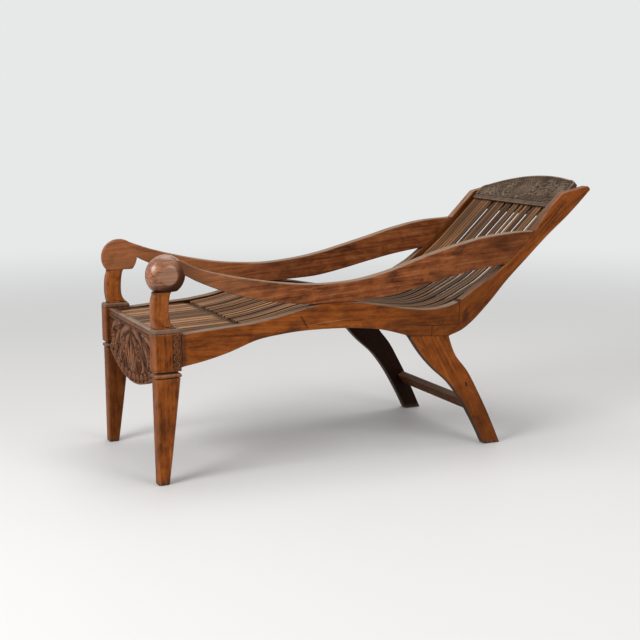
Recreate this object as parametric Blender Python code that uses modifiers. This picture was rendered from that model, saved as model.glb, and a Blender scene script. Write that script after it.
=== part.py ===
"""Planters chair: a long reclining lounge chair of solid hardwood.

Two side frames carry a slatted seat and back that run in one sweep. A carved board closes the
front, and a carved crest closes the top of the back. Nothing on the chair moves.

Metres, +Z up. The chair faces -Y and X runs across it. Left and right are the sitter's, and the
sitter's left is +X. Depths, called y, are counted back from the front faces of the front legs.
The origin is on the floor, under the middle of the whole chair.
"""

import math

import bpy
import bmesh
from mathutils import Matrix, Vector
from mathutils.geometry import interpolate_bezier

# Whole chair
WIDTH = 0.610                  # across the outer faces of the front legs
SEAT_HEIGHT = 0.476            # top of the front leg blocks, under their caps
BOARD = 0.034                  # thickness of the side frames' boards
SETBACK = 0.003                # boards lie behind the front legs' outer faces
FIT = 0.0003                   # clearance between pieces that touch
EASE = 0.0025                  # flat worn along the boards' edges

# Front legs
BLOCK_WIDTH = 0.054
BLOCK_DEPTH = 0.088
BLOCK_HEIGHT = 0.119
BLOCK_ARRIS = 0.004
CAP_HEIGHT = 0.014             # cushion on the block's top that the arm post stands on
CAP_INSET = 0.004
NECK_HEIGHT = 0.008
NECK_INSET = 0.007
COLLAR_HEIGHT = 0.016
COLLAR_INSET = 0.002
SHAFT_INSET = 0.004
FOOT_WIDTH = 0.038
FOOT_DEPTH = 0.036
FOOT_BACK = 0.006              # front of the foot behind the front of the block

# Arms and arm posts
BALL_RADIUS = 0.062
BALL_Y = 0.054
ARM_SHIFT = 0.006              # left ball and post stand this far forward, the right ones back
BALL_RISE_LEFT = 0.178         # ball's centre above the leg block
BALL_RISE_RIGHT = 0.171
BALL_THICKNESS = 0.048
BALL_FACET = 0.028             # radius of the flat on the ball's outer side
BALL_LIP = 0.009               # straight stretch behind the dome
POST_TOP_RISE = 0.1275         # flat underside of the ball above the leg block
BALL_PROUD = 0.0005            # ball stands proud of the arm's inner face
ARM_MEETS_RAIL = 0.058         # height above the leg block where the arm lies on the rail
POST_WIDTH = 0.036
POST_SETBACK = 0.005           # post's outer face behind the leg block's

# Side rails, back stiles and rear legs
RAIL_PROUD = 0.008             # rails stand above the slats
RAIL_END = 1.071               # y of the rail's rear end
LAP_START = 0.965              # y where the back stile's foot starts under the rail
LAP_LINE = 0.044               # depth of the lap's level seam below the leg block's top
CHEEK_LENGTH = 0.080
CHEEK_HEIGHT = 0.034
SHOULDER_FRONT = (0.880, -0.072)
SHOULDER_BACK = (1.035, -0.082)
STILE_PROUD = 0.018            # stiles stand forward of the slats beside the arms
CREST_PROUD_LEFT = 0.036       # and beside the crest
CREST_PROUD_RIGHT = 0.020
STILE_TOP_Y = 1.450
STILE_TOP_RISE_LEFT = 0.378
STILE_TOP_RISE_RIGHT = 0.352
STILE_TOP_SLOPE = 12.0         # degrees, rising to the rear
STILE_TIP_ROUND = 0.011        # the stile's tip lies this far forward of its back line's end
REAR_FOOT_FRONT = 1.182
REAR_FOOT_BACK = 1.245

# Slats
MAIN_SLATS = 24
MAIN_SLAT_GAP = 0.0017
OPEN_GAP = 0.012               # the slats have moved apart over the years, most of all after
OPEN_AFTER = (1, 3, 6, 8, 9, 11, 13, 17)  # these slats, counted from the sitter's left
FRONT_SLATS = 16
FRONT_SLAT_GAP = 0.0033
SLAT_THICKNESS = 0.006
SLAT_SIDE_GAP = 0.003
SLAT_END_GAP = 0.0006          # slats stop this far under the crest
FRONT_SLAT_END = 0.285
MAIN_SLAT_START = 0.310
FRONT_SLAT_DROP = 0.010        # slats below the leg block's top at the front
GROOVE = 0.008                 # front slats stand this deep in a groove of the apron

# Cross pieces
APRON_BACK = 0.013             # apron's face behind the leg blocks' faces
APRON_THICKNESS = 0.024
APRON_DROP = 0.002
APRON_END_DEPTH = 0.139
APRON_MID_DEPTH = 0.205
RAIL_DEPTH = 0.032             # cross rails under the slats
FRONT_CROSS = (0.262, 0.332)
MIDDLE_CROSS = (0.575, 0.630)
REAR_CROSS = (1.022, 1.085)
TOP_CROSS_BELOW = 0.018        # top cross rail reaches below and above the crest's lower edge
TOP_CROSS_ABOVE = 0.042
TOP_CROSS_DEPTH = 0.020
CREST_Y = 1.471
CREST_THICKNESS = 0.020
CREST_PROUD = 0.008            # crest's face stands forward of the slats
CREST_LEAN = 46.0              # degrees from level
CREST_END_HEIGHT = 0.078
CREST_SHOULDER_HEIGHT = 0.098
CREST_MID_HEIGHT = 0.130
CREST_SHOULDER = 0.034
CREST_TILT = 0.125             # slope of its top edge, up to the sitter's left
STRETCHER_Y = 1.168
STRETCHER_HEIGHT = 0.126
STRETCHER_WIDTH = 0.044
STRETCHER_THICKNESS = 0.026
STRETCHER_LEAN = 36.0          # degrees from upright

# Joints
TENON = 0.012                  # tenon thickness
TENON_LENGTH = 0.028
STUB = 0.012                   # length of the cross pieces' stub tenons
PEG_RADIUS = 0.0035
PEG_Y = 1.0015
PEG_DROP = 0.0345              # below the leg block's top
PEG_PROUD = 0.0008

# Lines of the side view: y, and height above the leg block's top
SLAT_LINE = (
    (MAIN_SLAT_START, 0.002), (0.380, 0.012), (0.445, 0.026), (0.520, 0.043), (0.600, 0.053),
    (0.700, 0.045), (0.800, 0.027), (0.885, 0.013), (0.966, 0.006), (1.030, 0.013),
    (1.085, 0.031), (1.140, 0.057), (1.205, 0.092), (1.300, 0.166), (1.388, 0.248),
    (CREST_Y, 0.328), (1.575, 0.436),
)
RAIL_BOTTOM = (
    (BLOCK_DEPTH, -0.107), (0.166, -0.094), (0.242, -0.075), (0.336, -0.043), (0.423, -0.030),
    (0.512, -0.025), (0.600, -0.026), (0.690, -0.031), (0.780, -0.043), SHOULDER_FRONT,
)
STILE_BACK = (
    SHOULDER_BACK, (1.082, -0.066), (1.122, -0.040), (1.155, -0.012), (1.196, 0.027),
    (1.253, 0.088), (1.321, 0.151), (1.413, 0.234), (1.506, 0.310), (1.595, 0.393),
)
ARM_TOP_LEFT = (
    (0.070, 0.2240), (0.088, 0.2235), (0.130, 0.2015), (0.176, 0.184), (0.278, 0.160), (0.400, 0.137),
    (0.510, 0.1245), (0.600, 0.122), (0.700, 0.129), (0.800, 0.149), (0.905, 0.181),
    (1.015, 0.212), (1.130, 0.238), (1.245, 0.254), (1.375, 0.2595),
)
ARM_TOP_RIGHT = (
    (0.070, 0.2165), (0.084, 0.2255), (0.103, 0.2190), (0.145, 0.2035), (0.188, 0.189),
    (0.278, 0.165), (0.400, 0.140), (0.510, 0.1275), (0.600, 0.125), (0.700, 0.132),
    (0.800, 0.1475), (0.905, 0.1715), (1.015, 0.1995), (1.130, 0.230), (1.245, 0.251), (1.375, 0.2595),
)
ARM_BOTTOM_LEFT = (
    (0.070, 0.172), (0.100, 0.1755), (0.150, 0.151), (0.212, 0.124), (0.296, 0.096),
    (0.402, 0.073), (0.512, 0.0595), (0.600, 0.0565), (0.700, 0.0595), (0.801, 0.067),
    (0.908, 0.089), (1.020, 0.114), (1.135, 0.136), (1.265, 0.151),
)
ARM_BOTTOM_RIGHT = (
    (0.070, 0.168), (0.106, 0.1735), (0.150, 0.152), (0.212, 0.125), (0.296, 0.097),
    (0.402, 0.073), (0.512, 0.0595), (0.600, 0.0565), (0.700, 0.0590), (0.801, 0.065),
    (0.908, 0.084), (1.020, 0.109), (1.135, 0.132), (1.265, 0.150),
)
# Edges of the arm post: y, and share of its height
POST_FRONT = ((0.0130, 1.0), (0.0050, 0.77), (0.003, 0.37), (0.006, 0.12), (0.010, 0.0))
POST_REAR = (
    (0.0645, 1.0), (0.0595, 0.76), (0.057, 0.50), (0.058, 0.28), (0.064, 0.13), (0.078, 0.0),
)
# Edges of the rear leg: y, and share of its height
REAR_LEG_FRONT = (
    (0.935, 0.82), (0.980, 0.70), (1.043, 0.56), (1.098, 0.377), (1.142, 0.19), (REAR_FOOT_FRONT, 0.0),
)
REAR_LEG_BACK = (
    (1.060, 0.83), (1.108, 0.675), (1.146, 0.51), (1.179, 0.355), (1.213, 0.175),
    (REAR_FOOT_BACK, 0.0),
)

# Places that follow from the sizes above
BOARD_OUTER = WIDTH / 2 - SETBACK
BOARD_INNER = BOARD_OUTER - BOARD
BOARD_X = BOARD_OUTER - BOARD / 2
POST_X = WIDTH / 2 - POST_SETBACK - POST_WIDTH / 2
BLOCK_INNER = WIDTH / 2 - BLOCK_WIDTH
POST_TOP = SEAT_HEIGHT + POST_TOP_RISE
LAP_Z = SEAT_HEIGHT - LAP_LINE
SHOULDER_SLOPE = (SHOULDER_BACK[1] - SHOULDER_FRONT[1]) / (SHOULDER_BACK[0] - SHOULDER_FRONT[0])
STILE_TIP_Y = STILE_BACK[-1][0] - STILE_TIP_ROUND
MIDDLE_Y = (BALL_Y - ARM_SHIFT - BALL_RADIUS + STILE_BACK[-1][0]) / 2
SIDES = {"left": 1, "right": -1}


def remove_all():
    for item in list(bpy.data.objects):
        bpy.data.objects.remove(item, do_unlink=True)


def new_collection(name, shown):
    group = bpy.data.collections.new(name)
    bpy.context.scene.collection.children.link(group)
    group.hide_render = not shown
    return group


def wood(name, colour, roughness):
    finish = bpy.data.materials.new(name)
    finish.use_nodes = True
    shader = finish.node_tree.nodes["Principled BSDF"]
    shader.inputs["Base Color"].default_value = (*colour, 1.0)
    shader.inputs["Roughness"].default_value = roughness
    shader.inputs["Metallic"].default_value = 0.0
    return finish


remove_all()
CHAIR = new_collection("planters_chair", True)
CUTTERS = new_collection("joinery_cutters", False)
ORIGIN = bpy.data.objects.new("chair_origin", None)
CHAIR.objects.link(ORIGIN)
ORIGIN.location = (0, -MIDDLE_Y, 0)

FRAME_WOOD = wood("frame_wood", (0.26, 0.085, 0.025), 0.35)
SLAT_WOOD = wood("slat_wood", (0.22, 0.12, 0.07), 0.6)
CARVED_WOOD = wood("carved_wood", (0.16, 0.10, 0.065), 0.6)


def place(item, group=CHAIR):
    """Moves an object to a collection and stands it in the chair's frame."""
    for holder in list(item.users_collection):
        holder.objects.unlink(item)
    group.objects.link(item)
    item.parent = ORIGIN
    return item


def as_cutter(item):
    place(item, CUTTERS)
    item.hide_render = True
    item.display_type = "WIRE"
    return item


def smooth_path(points, steps):
    """A smooth line through the points, with the given number of steps between two of them."""
    knots = [Vector((y, z)) for y, z in points]
    path = []
    for index in range(len(knots) - 1):
        start, end = knots[index], knots[index + 1]
        before = knots[max(index - 1, 0)]
        after = knots[min(index + 2, len(knots) - 1)]
        reach = (end - start).length / 3
        leave = (end - before).normalized() * reach
        arrive = (after - start).normalized() * reach
        stretch = interpolate_bezier(start, start + leave, end - arrive, end, steps + 1)
        path += [Vector(point[:2]) for point in stretch[:-1]]
    return path + [knots[-1]]


def offset_path(path, distance):
    """The path moved sideways, to its left seen along it. distance is a number or follows y."""
    moved = []
    for index, point in enumerate(path):
        ahead = path[min(index + 1, len(path) - 1)]
        behind = path[max(index - 1, 0)]
        along = (ahead - behind).normalized()
        shift = distance(point.x) if callable(distance) else distance
        moved.append(point + Vector((-along.y, along.x)) * shift)
    return moved


def raised(points):
    """Points given above the leg block's top, as heights above the floor."""
    return [(y, SEAT_HEIGHT + rise) for y, rise in points]


def height_at(path, y):
    """Height of a path where it passes y."""
    for start, end in zip(path, path[1:]):
        if start.x <= y <= end.x:
            share = (y - start.x) / max(end.x - start.x, 1e-9)
            return start.y + (end.y - start.y) * share
    return path[0].y if y < path[0].x else path[-1].y


def depth_at(path, z):
    """The y of a rising path where it passes height z."""
    for start, end in zip(path, path[1:]):
        if min(start.y, end.y) <= z <= max(start.y, end.y):
            share = (z - start.y) / ((end.y - start.y) or 1e-9)
            return start.x + (end.x - start.x) * share
    return path[-1].x


def between(path, low, high):
    """The part of a path from y low to y high, with its two ends exactly there."""
    inner = [point for point in path if low + 1e-4 < point.x < high - 1e-4]
    first = Vector((low, height_at(path, low)))
    last = Vector((high, height_at(path, high)))
    return [first, *inner, last]


def cut_level(path, level, side):
    """The path with whatever lies above (side 1) or below (side -1) a level flattened onto it."""
    kept = [path[0]]
    for start, end in zip(path, path[1:]):
        beyond_start = (start.y - level) * side > 0
        beyond_end = (end.y - level) * side > 0
        if beyond_start != beyond_end:
            share = (level - start.y) / (end.y - start.y)
            kept.append(start.lerp(end, share))
        if not beyond_end:
            kept.append(end)
    return kept


def touches(point, seam):
    return any((Vector(point[:2]) - Vector(other)).length < 2e-5 for other in seam)


def mark_eased(shape, thickness, seams):
    """Marks the outline's edges for the bevel, except along seams with other pieces."""
    weight = shape.edges.layers.float.new("bevel_weight_edge")
    for edge in shape.edges:
        first, second = (vertex.co for vertex in edge.verts)
        on_face = abs(first.z - second.z) < 1e-5 and abs(abs(first.z) - thickness / 2) < 1e-5
        between_faces = any(abs(face.normal.z) < 0.5 for face in edge.link_faces)
        in_seam = any(touches(first, seam) and touches(second, seam) for seam in seams)
        if on_face and between_faces and not in_seam:
            edge[weight] = 1.0


def extruded(name, outline, thickness, matrix, material, ease=0.0, seams=()):
    """A board: a flat outline with a thickness, as a mesh, with its edges eased."""
    curve = bpy.data.curves.new(name + "_outline", "CURVE")
    curve.dimensions = "2D"
    curve.fill_mode = "BOTH"
    curve.extrude = thickness / 2
    spline = curve.splines.new("POLY")
    spline.points.add(len(outline) - 1)
    for knot, point in zip(spline.points, outline):
        knot.co = (point[0], point[1], 0, 1)
    spline.use_cyclic_u = True
    flat = bpy.data.objects.new(name + "_outline", curve)
    bpy.context.scene.collection.objects.link(flat)
    bpy.context.view_layer.update()
    mesh = bpy.data.meshes.new_from_object(flat.evaluated_get(bpy.context.evaluated_depsgraph_get()))
    bpy.data.objects.remove(flat, do_unlink=True)
    shape = bmesh.new()
    shape.from_mesh(mesh)
    bmesh.ops.remove_doubles(shape, verts=shape.verts, dist=1e-5)
    bmesh.ops.recalc_face_normals(shape, faces=shape.faces)
    mark_eased(shape, thickness, seams)
    shape.to_mesh(mesh)
    shape.free()
    mesh.materials.clear()
    mesh.materials.append(material)
    board = bpy.data.objects.new(name, mesh)
    bpy.context.scene.collection.objects.link(board)
    place(board)
    board.matrix_local = matrix
    if ease:
        bevel = board.modifiers.new("eased_edges", "BEVEL")
        bevel.width = ease
        bevel.segments = 1
        bevel.limit_method = "WEIGHT"
    return board


def side_plane(x):
    """Places a y, z outline in the side view, at x."""
    turn = Matrix(((0, 0, 1), (1, 0, 0), (0, 1, 0)))
    return Matrix.Translation((x, 0, 0)) @ turn.to_4x4()


def front_plane(y):
    """Places an x, z outline in the front view, at y."""
    turn = Matrix(((1, 0, 0), (0, 0, -1), (0, 1, 0)))
    return Matrix.Translation((0, y, 0)) @ turn.to_4x4()


def box(name, size, centre, tilt=0.0):
    """A box as a cutter, turned about X by tilt."""
    bpy.ops.mesh.primitive_cube_add(size=1)
    item = bpy.context.object
    item.name = name
    for vertex in item.data.vertices:
        vertex.co = Vector((vertex.co.x * size[0], vertex.co.y * size[1], vertex.co.z * size[2]))
    as_cutter(item)
    item.matrix_local = Matrix.Translation(centre) @ Matrix.Rotation(tilt, 4, "X")
    return item


def boolean(item, other, operation):
    step = item.modifiers.new(operation.lower(), "BOOLEAN")
    step.operation = operation
    step.object = other


def tenon(owner, hosts, name, size, centre, tilt=0.0):
    """A tenon on one piece, and its mortise with clearance all round in the others."""
    tongue = box(name + "_tenon", size, centre, tilt)
    boolean(owner, tongue, "UNION")
    loose = tuple(length + 2 * FIT for length in size)
    mortise = box(name + "_mortise", loose, centre, tilt)
    for host in hosts:
        boolean(host, mortise, "DIFFERENCE")


def rounded_section(x_low, x_high, y_low, y_high, z, arris):
    """Eight corners of a rectangle with cut arrises."""
    return [
        (x_low + arris, y_low, z), (x_high - arris, y_low, z),
        (x_high, y_low + arris, z), (x_high, y_high - arris, z),
        (x_high - arris, y_high, z), (x_low + arris, y_high, z),
        (x_low, y_high - arris, z), (x_low, y_low + arris, z),
    ]


def front_leg(side, sign):
    """Square block, neck, collar and tapered shaft, lofted down one stick."""
    top = SEAT_HEIGHT
    block_foot = top - BLOCK_HEIGHT
    collar_top = block_foot - NECK_HEIGHT
    collar_foot = collar_top - COLLAR_HEIGHT

    def level(z, inset, arris=BLOCK_ARRIS):
        low, high = BLOCK_INNER + inset, WIDTH / 2 - inset
        return rounded_section(low, high, inset, BLOCK_DEPTH - inset, z, arris)

    foot_front = FOOT_BACK
    foot = rounded_section(
        WIDTH / 2 - SHAFT_INSET / 2 - FOOT_WIDTH, WIDTH / 2 - SHAFT_INSET / 2,
        foot_front, foot_front + FOOT_DEPTH, 0.0, BLOCK_ARRIS)
    cap_top = top + CAP_HEIGHT
    sections = [
        level(cap_top, CAP_INSET), level(cap_top - CAP_HEIGHT * 0.25, CAP_INSET * 0.45),
        level(cap_top - CAP_HEIGHT * 0.55, CAP_INSET * 0.15), level(top, 0),
        level(block_foot + EASE, 0), level(block_foot, EASE),
        level(block_foot - EASE / 2, NECK_INSET), level(collar_top + EASE / 2, NECK_INSET),
        level(collar_top, COLLAR_INSET + EASE), level(collar_top - COLLAR_HEIGHT * 0.3, COLLAR_INSET),
        level(collar_top - COLLAR_HEIGHT * 0.7, COLLAR_INSET), level(collar_foot, COLLAR_INSET + EASE),
        level(collar_foot - EASE / 2, SHAFT_INSET), foot,
    ]
    shape = bmesh.new()
    rings = [[shape.verts.new((sign * x, y, z)) for x, y, z in section] for section in sections]
    for upper, lower in zip(rings, rings[1:]):
        for index in range(len(upper)):
            following = (index + 1) % len(upper)
            shape.faces.new((upper[index], upper[following], lower[following], lower[index]))
    shape.faces.new(rings[0])
    shape.faces.new(rings[-1])
    bmesh.ops.recalc_face_normals(shape, faces=shape.faces)
    mesh = bpy.data.meshes.new(f"front_leg_{side}")
    shape.to_mesh(mesh)
    shape.free()
    mesh.materials.append(FRAME_WOOD)
    return place(bpy.data.objects.new(f"front_leg_{side}", mesh))


def slat_path(steps=2):
    return smooth_path(raised(SLAT_LINE), steps)


def front_slat_path():
    start = Vector((APRON_BACK + APRON_THICKNESS - GROOVE, SEAT_HEIGHT - FRONT_SLAT_DROP))
    end = Vector((FRONT_SLAT_END, SEAT_HEIGHT + SLAT_LINE[0][1] - 0.002))
    return [start, end]


def forward(sign):
    """How far the ball and post of one side lie forward of their common place."""
    return sign * ARM_SHIFT


def ball_y(sign):
    return BALL_Y - forward(sign)


def ball_z(sign):
    return SEAT_HEIGHT + (BALL_RISE_LEFT if sign > 0 else BALL_RISE_RIGHT)


def frame_top(sign):
    """Upper and forward edge of a side frame, from the front leg to the stile's top."""
    crest_proud = CREST_PROUD_LEFT if sign > 0 else CREST_PROUD_RIGHT
    arm_start, arm_end, flare_end = 1.150, 1.370, 1.450

    def proud(y):
        if y < RAIL_END:
            return RAIL_PROUD
        if y < arm_start:
            share = (y - RAIL_END) / (arm_start - RAIL_END)
            return RAIL_PROUD + (STILE_PROUD - RAIL_PROUD) * share
        if y < arm_end:
            return STILE_PROUD
        share = min((y - arm_end) / (flare_end - arm_end), 1)
        return STILE_PROUD + (crest_proud - STILE_PROUD) * share

    swept = offset_path(slat_path(), proud)
    front = front_slat_path()
    first = Vector((BLOCK_DEPTH + FIT, SEAT_HEIGHT - FRONT_SLAT_DROP / 2))
    level = Vector((FRONT_SLAT_END * 0.6, front[0].y + (front[1].y - front[0].y) * 0.6 + RAIL_PROUD * 0.7))
    return smooth_path([first, level, swept[0]], 3)[:-1] + swept


def stile_cut(y, sign):
    """Height of the stile's top end at y."""
    slope = math.tan(math.radians(STILE_TOP_SLOPE))
    rise = STILE_TOP_RISE_LEFT if sign > 0 else STILE_TOP_RISE_RIGHT
    return SEAT_HEIGHT + rise + slope * (y - STILE_TOP_Y)


def shoulder(y):
    """Height of the straight underside that the rear leg meets."""
    return SEAT_HEIGHT + SHOULDER_FRONT[1] + SHOULDER_SLOPE * (y - SHOULDER_FRONT[0])


def seat_rail(side, sign):
    contact = SEAT_HEIGHT + ARM_MEETS_RAIL
    top = between(frame_top(sign), BLOCK_DEPTH + FIT, RAIL_END - FIT)
    top = cut_level(top, contact, 1)
    bottom = smooth_path(raised(RAIL_BOTTOM), 2)
    bottom[0].x += FIT
    end = [
        (LAP_START - FIT, shoulder(LAP_START)),
        (LAP_START - FIT, LAP_Z + FIT),
        (RAIL_END - FIT, LAP_Z + FIT),
    ]
    end = [Vector(point) for point in end]
    outline = bottom + end + top[::-1]
    seams = (
        [bottom[-1], *end, top[-1]],
        [bottom[0], top[0]],
        [point for point in top if abs(point.y - contact) < 1e-6],
    )
    plane = side_plane(sign * BOARD_X)
    return extruded(f"seat_rail_{side}", outline, BOARD, plane, FRAME_WOOD, EASE, seams)


def back_stile(side, sign):
    front = [point for point in frame_top(sign) if point.x > RAIL_END + 1e-4]
    front = [point for point in front if point.y < stile_cut(point.x, sign)]
    last, previous = front[-1], front[-2]
    along = (last - previous).normalized()
    slope = math.tan(math.radians(STILE_TOP_SLOPE))
    reach = (stile_cut(last.x, sign) - last.y) / (along.y - slope * along.x)
    corner = last + along * reach
    seam_top = Vector((RAIL_END, height_at(frame_top(sign), RAIL_END)))
    back = smooth_path(raised(STILE_BACK), 2)
    tip = Vector((STILE_TIP_Y, stile_cut(STILE_TIP_Y, sign)))
    back = [point for point in back if point.y < tip.y - EASE]
    foot = [Vector((LAP_START, LAP_Z)), Vector((LAP_START, shoulder(LAP_START)))]
    lap_end = Vector((RAIL_END, LAP_Z))
    outline = foot + back + [tip, corner] + front[::-1] + [seam_top, lap_end]
    seams = ([seam_top, lap_end, *foot, back[0]],)
    plane = side_plane(sign * BOARD_X)
    return extruded(f"back_stile_{side}", outline, BOARD, plane, FRAME_WOOD, EASE, seams)


def arm_post(side, sign):
    base = SEAT_HEIGHT + CAP_HEIGHT + FIT
    rise = POST_TOP - base

    def edge(points):
        return smooth_path([(y - forward(sign), base + rise * share) for y, share in points], 2)

    front, rear = edge(POST_FRONT), edge(POST_REAR)
    seams = ([front[0], rear[0]], [front[-1], rear[-1]])
    plane = side_plane(sign * POST_X)
    return extruded(f"arm_post_{side}", front + rear[::-1], POST_WIDTH, plane, FRAME_WOOD, 2 * EASE, seams)


def arm_ball(side, sign):
    """The turned end of the arm: flat on its inner side, domed on its outer side."""
    dome = math.sqrt(BALL_RADIUS ** 2 - BALL_FACET ** 2)
    profile = [(0.0, 0.0), (BALL_RADIUS - EASE, 0.0), (BALL_RADIUS, BALL_LIP)]
    steps = 7
    for step in range(1, steps + 1):
        angle = math.acos(BALL_FACET / BALL_RADIUS) * step / steps
        height = BALL_RADIUS * math.sin(angle) / dome * (BALL_THICKNESS - BALL_LIP)
        profile.append((BALL_RADIUS * math.cos(angle), BALL_LIP + height))
    profile.append((0.0, BALL_THICKNESS))
    mesh = bpy.data.meshes.new(f"arm_ball_{side}")
    points = [(radius, 0, height) for radius, height in profile]
    mesh.from_pydata(points, [(n, n + 1) for n in range(len(points) - 1)], [])
    ball = bpy.data.objects.new(f"arm_ball_{side}", mesh)
    bpy.context.scene.collection.objects.link(ball)
    turn = ball.modifiers.new("turned", "SCREW")
    turn.steps = 32
    turn.render_steps = 32
    turn.use_merge_vertices = True
    turn.merge_threshold = 0.00005
    turn.use_smooth_shade = False
    bpy.context.view_layer.update()
    solid = bpy.data.meshes.new_from_object(ball.evaluated_get(bpy.context.evaluated_depsgraph_get()))
    shape = bmesh.new()
    shape.from_mesh(solid)
    bmesh.ops.remove_doubles(shape, verts=shape.verts, dist=5e-5)
    bmesh.ops.recalc_face_normals(shape, faces=shape.faces)
    shape.to_mesh(solid)
    shape.free()
    ball.modifiers.clear()
    ball.data = solid
    as_cutter(ball)
    outward = Matrix.Rotation(math.radians(90 * sign), 4, "Y")
    centre = (sign * (BOARD_INNER - BALL_PROUD), ball_y(sign), ball_z(sign))
    ball.matrix_local = Matrix.Translation(centre) @ outward
    return ball


def arm(side, sign):
    contact = SEAT_HEIGHT + ARM_MEETS_RAIL + FIT
    top = smooth_path(raised(ARM_TOP_LEFT if sign > 0 else ARM_TOP_RIGHT), 2)
    bottom = smooth_path(raised(ARM_BOTTOM_LEFT if sign > 0 else ARM_BOTTOM_RIGHT), 2)
    bottom = cut_level(bottom, contact, -1)
    front_edge = [p for p in frame_top(sign) if p.x > RAIL_END]
    seat = offset_path(front_edge, FIT)
    top = [p for p in top if p.x < depth_at(seat, p.y) - EASE]
    bottom = [p for p in bottom if p.x < depth_at(seat, p.y) - EASE or p.x < RAIL_END]
    high, low = top[-1].y, bottom[-1].y
    end = [p for p in seat if low < p.y < high]
    corner_high = Vector((depth_at(seat, high), high))
    corner_low = Vector((depth_at(seat, low), low))
    outline = bottom + [corner_low] + end + [corner_high] + top[::-1]
    seams = (
        [corner_low, *end, corner_high],
        [point for point in bottom if abs(point.y - contact) < 1e-6],
    )
    name = f"arm_{side}"
    piece = extruded(name, outline, BOARD, side_plane(sign * BOARD_X), FRAME_WOOD, EASE, seams)
    boolean(piece, arm_ball(side, sign), "UNION")
    below = 0.04
    flat = (3 * BALL_THICKNESS, 2.2 * BALL_RADIUS, below)
    cut = box(name + "_post_seat", flat, (sign * BOARD_X, ball_y(sign), POST_TOP + FIT - below / 2))
    boolean(piece, cut, "DIFFERENCE")
    return piece


def rear_leg(side, sign):
    def edge(points, start):
        top = start[1] - FIT
        down = [(start[0], top)] + [(y, top * share) for y, share in points]
        return smooth_path(down, 2)

    front = edge(REAR_LEG_FRONT, (SHOULDER_FRONT[0] + 0.003, shoulder(SHOULDER_FRONT[0] + 0.003)))
    back = edge(REAR_LEG_BACK, (SHOULDER_BACK[0] - 0.003, shoulder(SHOULDER_BACK[0] - 0.003)))
    plane = side_plane(sign * BOARD_X)
    seams = ([front[0], back[0]],)
    return extruded(f"rear_leg_{side}", front + back[::-1], BOARD, plane, FRAME_WOOD, EASE, seams)


def slat_width(count, gap, open_after=()):
    """Width of each slat, so that the run fills the room between the side frames."""
    span = 2 * (BOARD_INNER - SLAT_SIDE_GAP)
    gaps = (count - 1 - len(open_after)) * gap + len(open_after) * OPEN_GAP
    return (span - gaps) / count


def slat_places(count, gap, open_after=()):
    """The x of each slat's middle, from the sitter's left."""
    width = slat_width(count, gap, open_after)
    x = BOARD_INNER - SLAT_SIDE_GAP - width / 2
    places = []
    for number in range(1, count + 1):
        places.append(x)
        x -= width + (OPEN_GAP if number in open_after else gap)
    return places


def slat_run(kind, path, width, places):
    """Slats of one outline, side by side."""
    outline = path + offset_path(path, -SLAT_THICKNESS)[::-1]
    first = extruded(f"{kind}_01", outline, width, side_plane(places[0]), SLAT_WOOD)
    run = [first]
    for number, x in enumerate(places[1:], 2):
        slat = place(bpy.data.objects.new(f"{kind}_{number:02d}", first.data))
        slat.matrix_local = side_plane(x)
        run.append(slat)
    return run


def slats():
    main = between(slat_path(), MAIN_SLAT_START, CREST_Y - CREST_PROUD)
    places = slat_places(MAIN_SLATS, MAIN_SLAT_GAP, OPEN_AFTER)
    width = slat_width(MAIN_SLATS, MAIN_SLAT_GAP, OPEN_AFTER)
    slat_run("main_slat", crest_foot_gap(main), width, places)
    places = slat_places(FRONT_SLATS, FRONT_SLAT_GAP)
    width = slat_width(FRONT_SLATS, FRONT_SLAT_GAP)
    run = slat_run("front_slat", front_slat_path(), width, places)
    for slat, x in zip(run, places):
        if abs(x) + width / 2 > BLOCK_INNER - FIT:
            notch_for_leg(slat, slat.name, 1 if x > 0 else -1)


def notch_for_leg(slat, name, sign):
    """The outermost front slats are notched round the front legs' blocks."""
    size = (BLOCK_WIDTH + 2 * FIT, BLOCK_DEPTH + 2 * FIT, BLOCK_HEIGHT)
    centre = (sign * (WIDTH - BLOCK_WIDTH) / 2, BLOCK_DEPTH / 2, SEAT_HEIGHT - BLOCK_HEIGHT / 2 + 0.01)
    boolean(slat, box(name + "_notch", size, centre), "DIFFERENCE")


def crest_frame():
    """Where the crest's lower edge meets the slats' upper faces, and the directions up and out."""
    foot = Vector((CREST_Y, height_at(slat_path(), CREST_Y)))
    lean = math.radians(CREST_LEAN)
    return foot, Vector((math.cos(lean), math.sin(lean))), Vector((-math.sin(lean), math.cos(lean)))


def crest_foot_gap(path):
    """The slats' path, stopped under the crest's lower edge."""
    foot, up, out = crest_frame()
    kept = [point for point in path if (point - foot).dot(up) < -0.02]
    return kept + [foot - up * SLAT_END_GAP]


def cross_rail(name, start, end, depth, path):
    """A rail whose top follows the undersides of the slats."""
    under = between(offset_path(path, -SLAT_THICKNESS - FIT), start, end)
    outline = under + offset_path(under, -depth)[::-1]
    length = 2 * (BOARD_INNER - FIT)
    return extruded(name, outline, length, side_plane(0), SLAT_WOOD, EASE / 2)


def front_cross_rail():
    front = offset_path(front_slat_path(), -SLAT_THICKNESS - FIT)
    main = offset_path(slat_path(), -SLAT_THICKNESS - FIT)
    start, end = FRONT_CROSS
    slope = (front[1].y - front[0].y) / (front[1].x - front[0].x)
    first = Vector((start, front[1].y - slope * (front[1].x - start)))
    top = [first, front[1]] + between(main, main[0].x, end)
    foot = min(point.y for point in top) - RAIL_DEPTH
    outline = top + [Vector((end, foot)), Vector((start, foot))]
    length = 2 * (BOARD_INNER - FIT)
    return extruded("front_cross_rail", outline, length, side_plane(0), SLAT_WOOD, EASE / 2)


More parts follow.
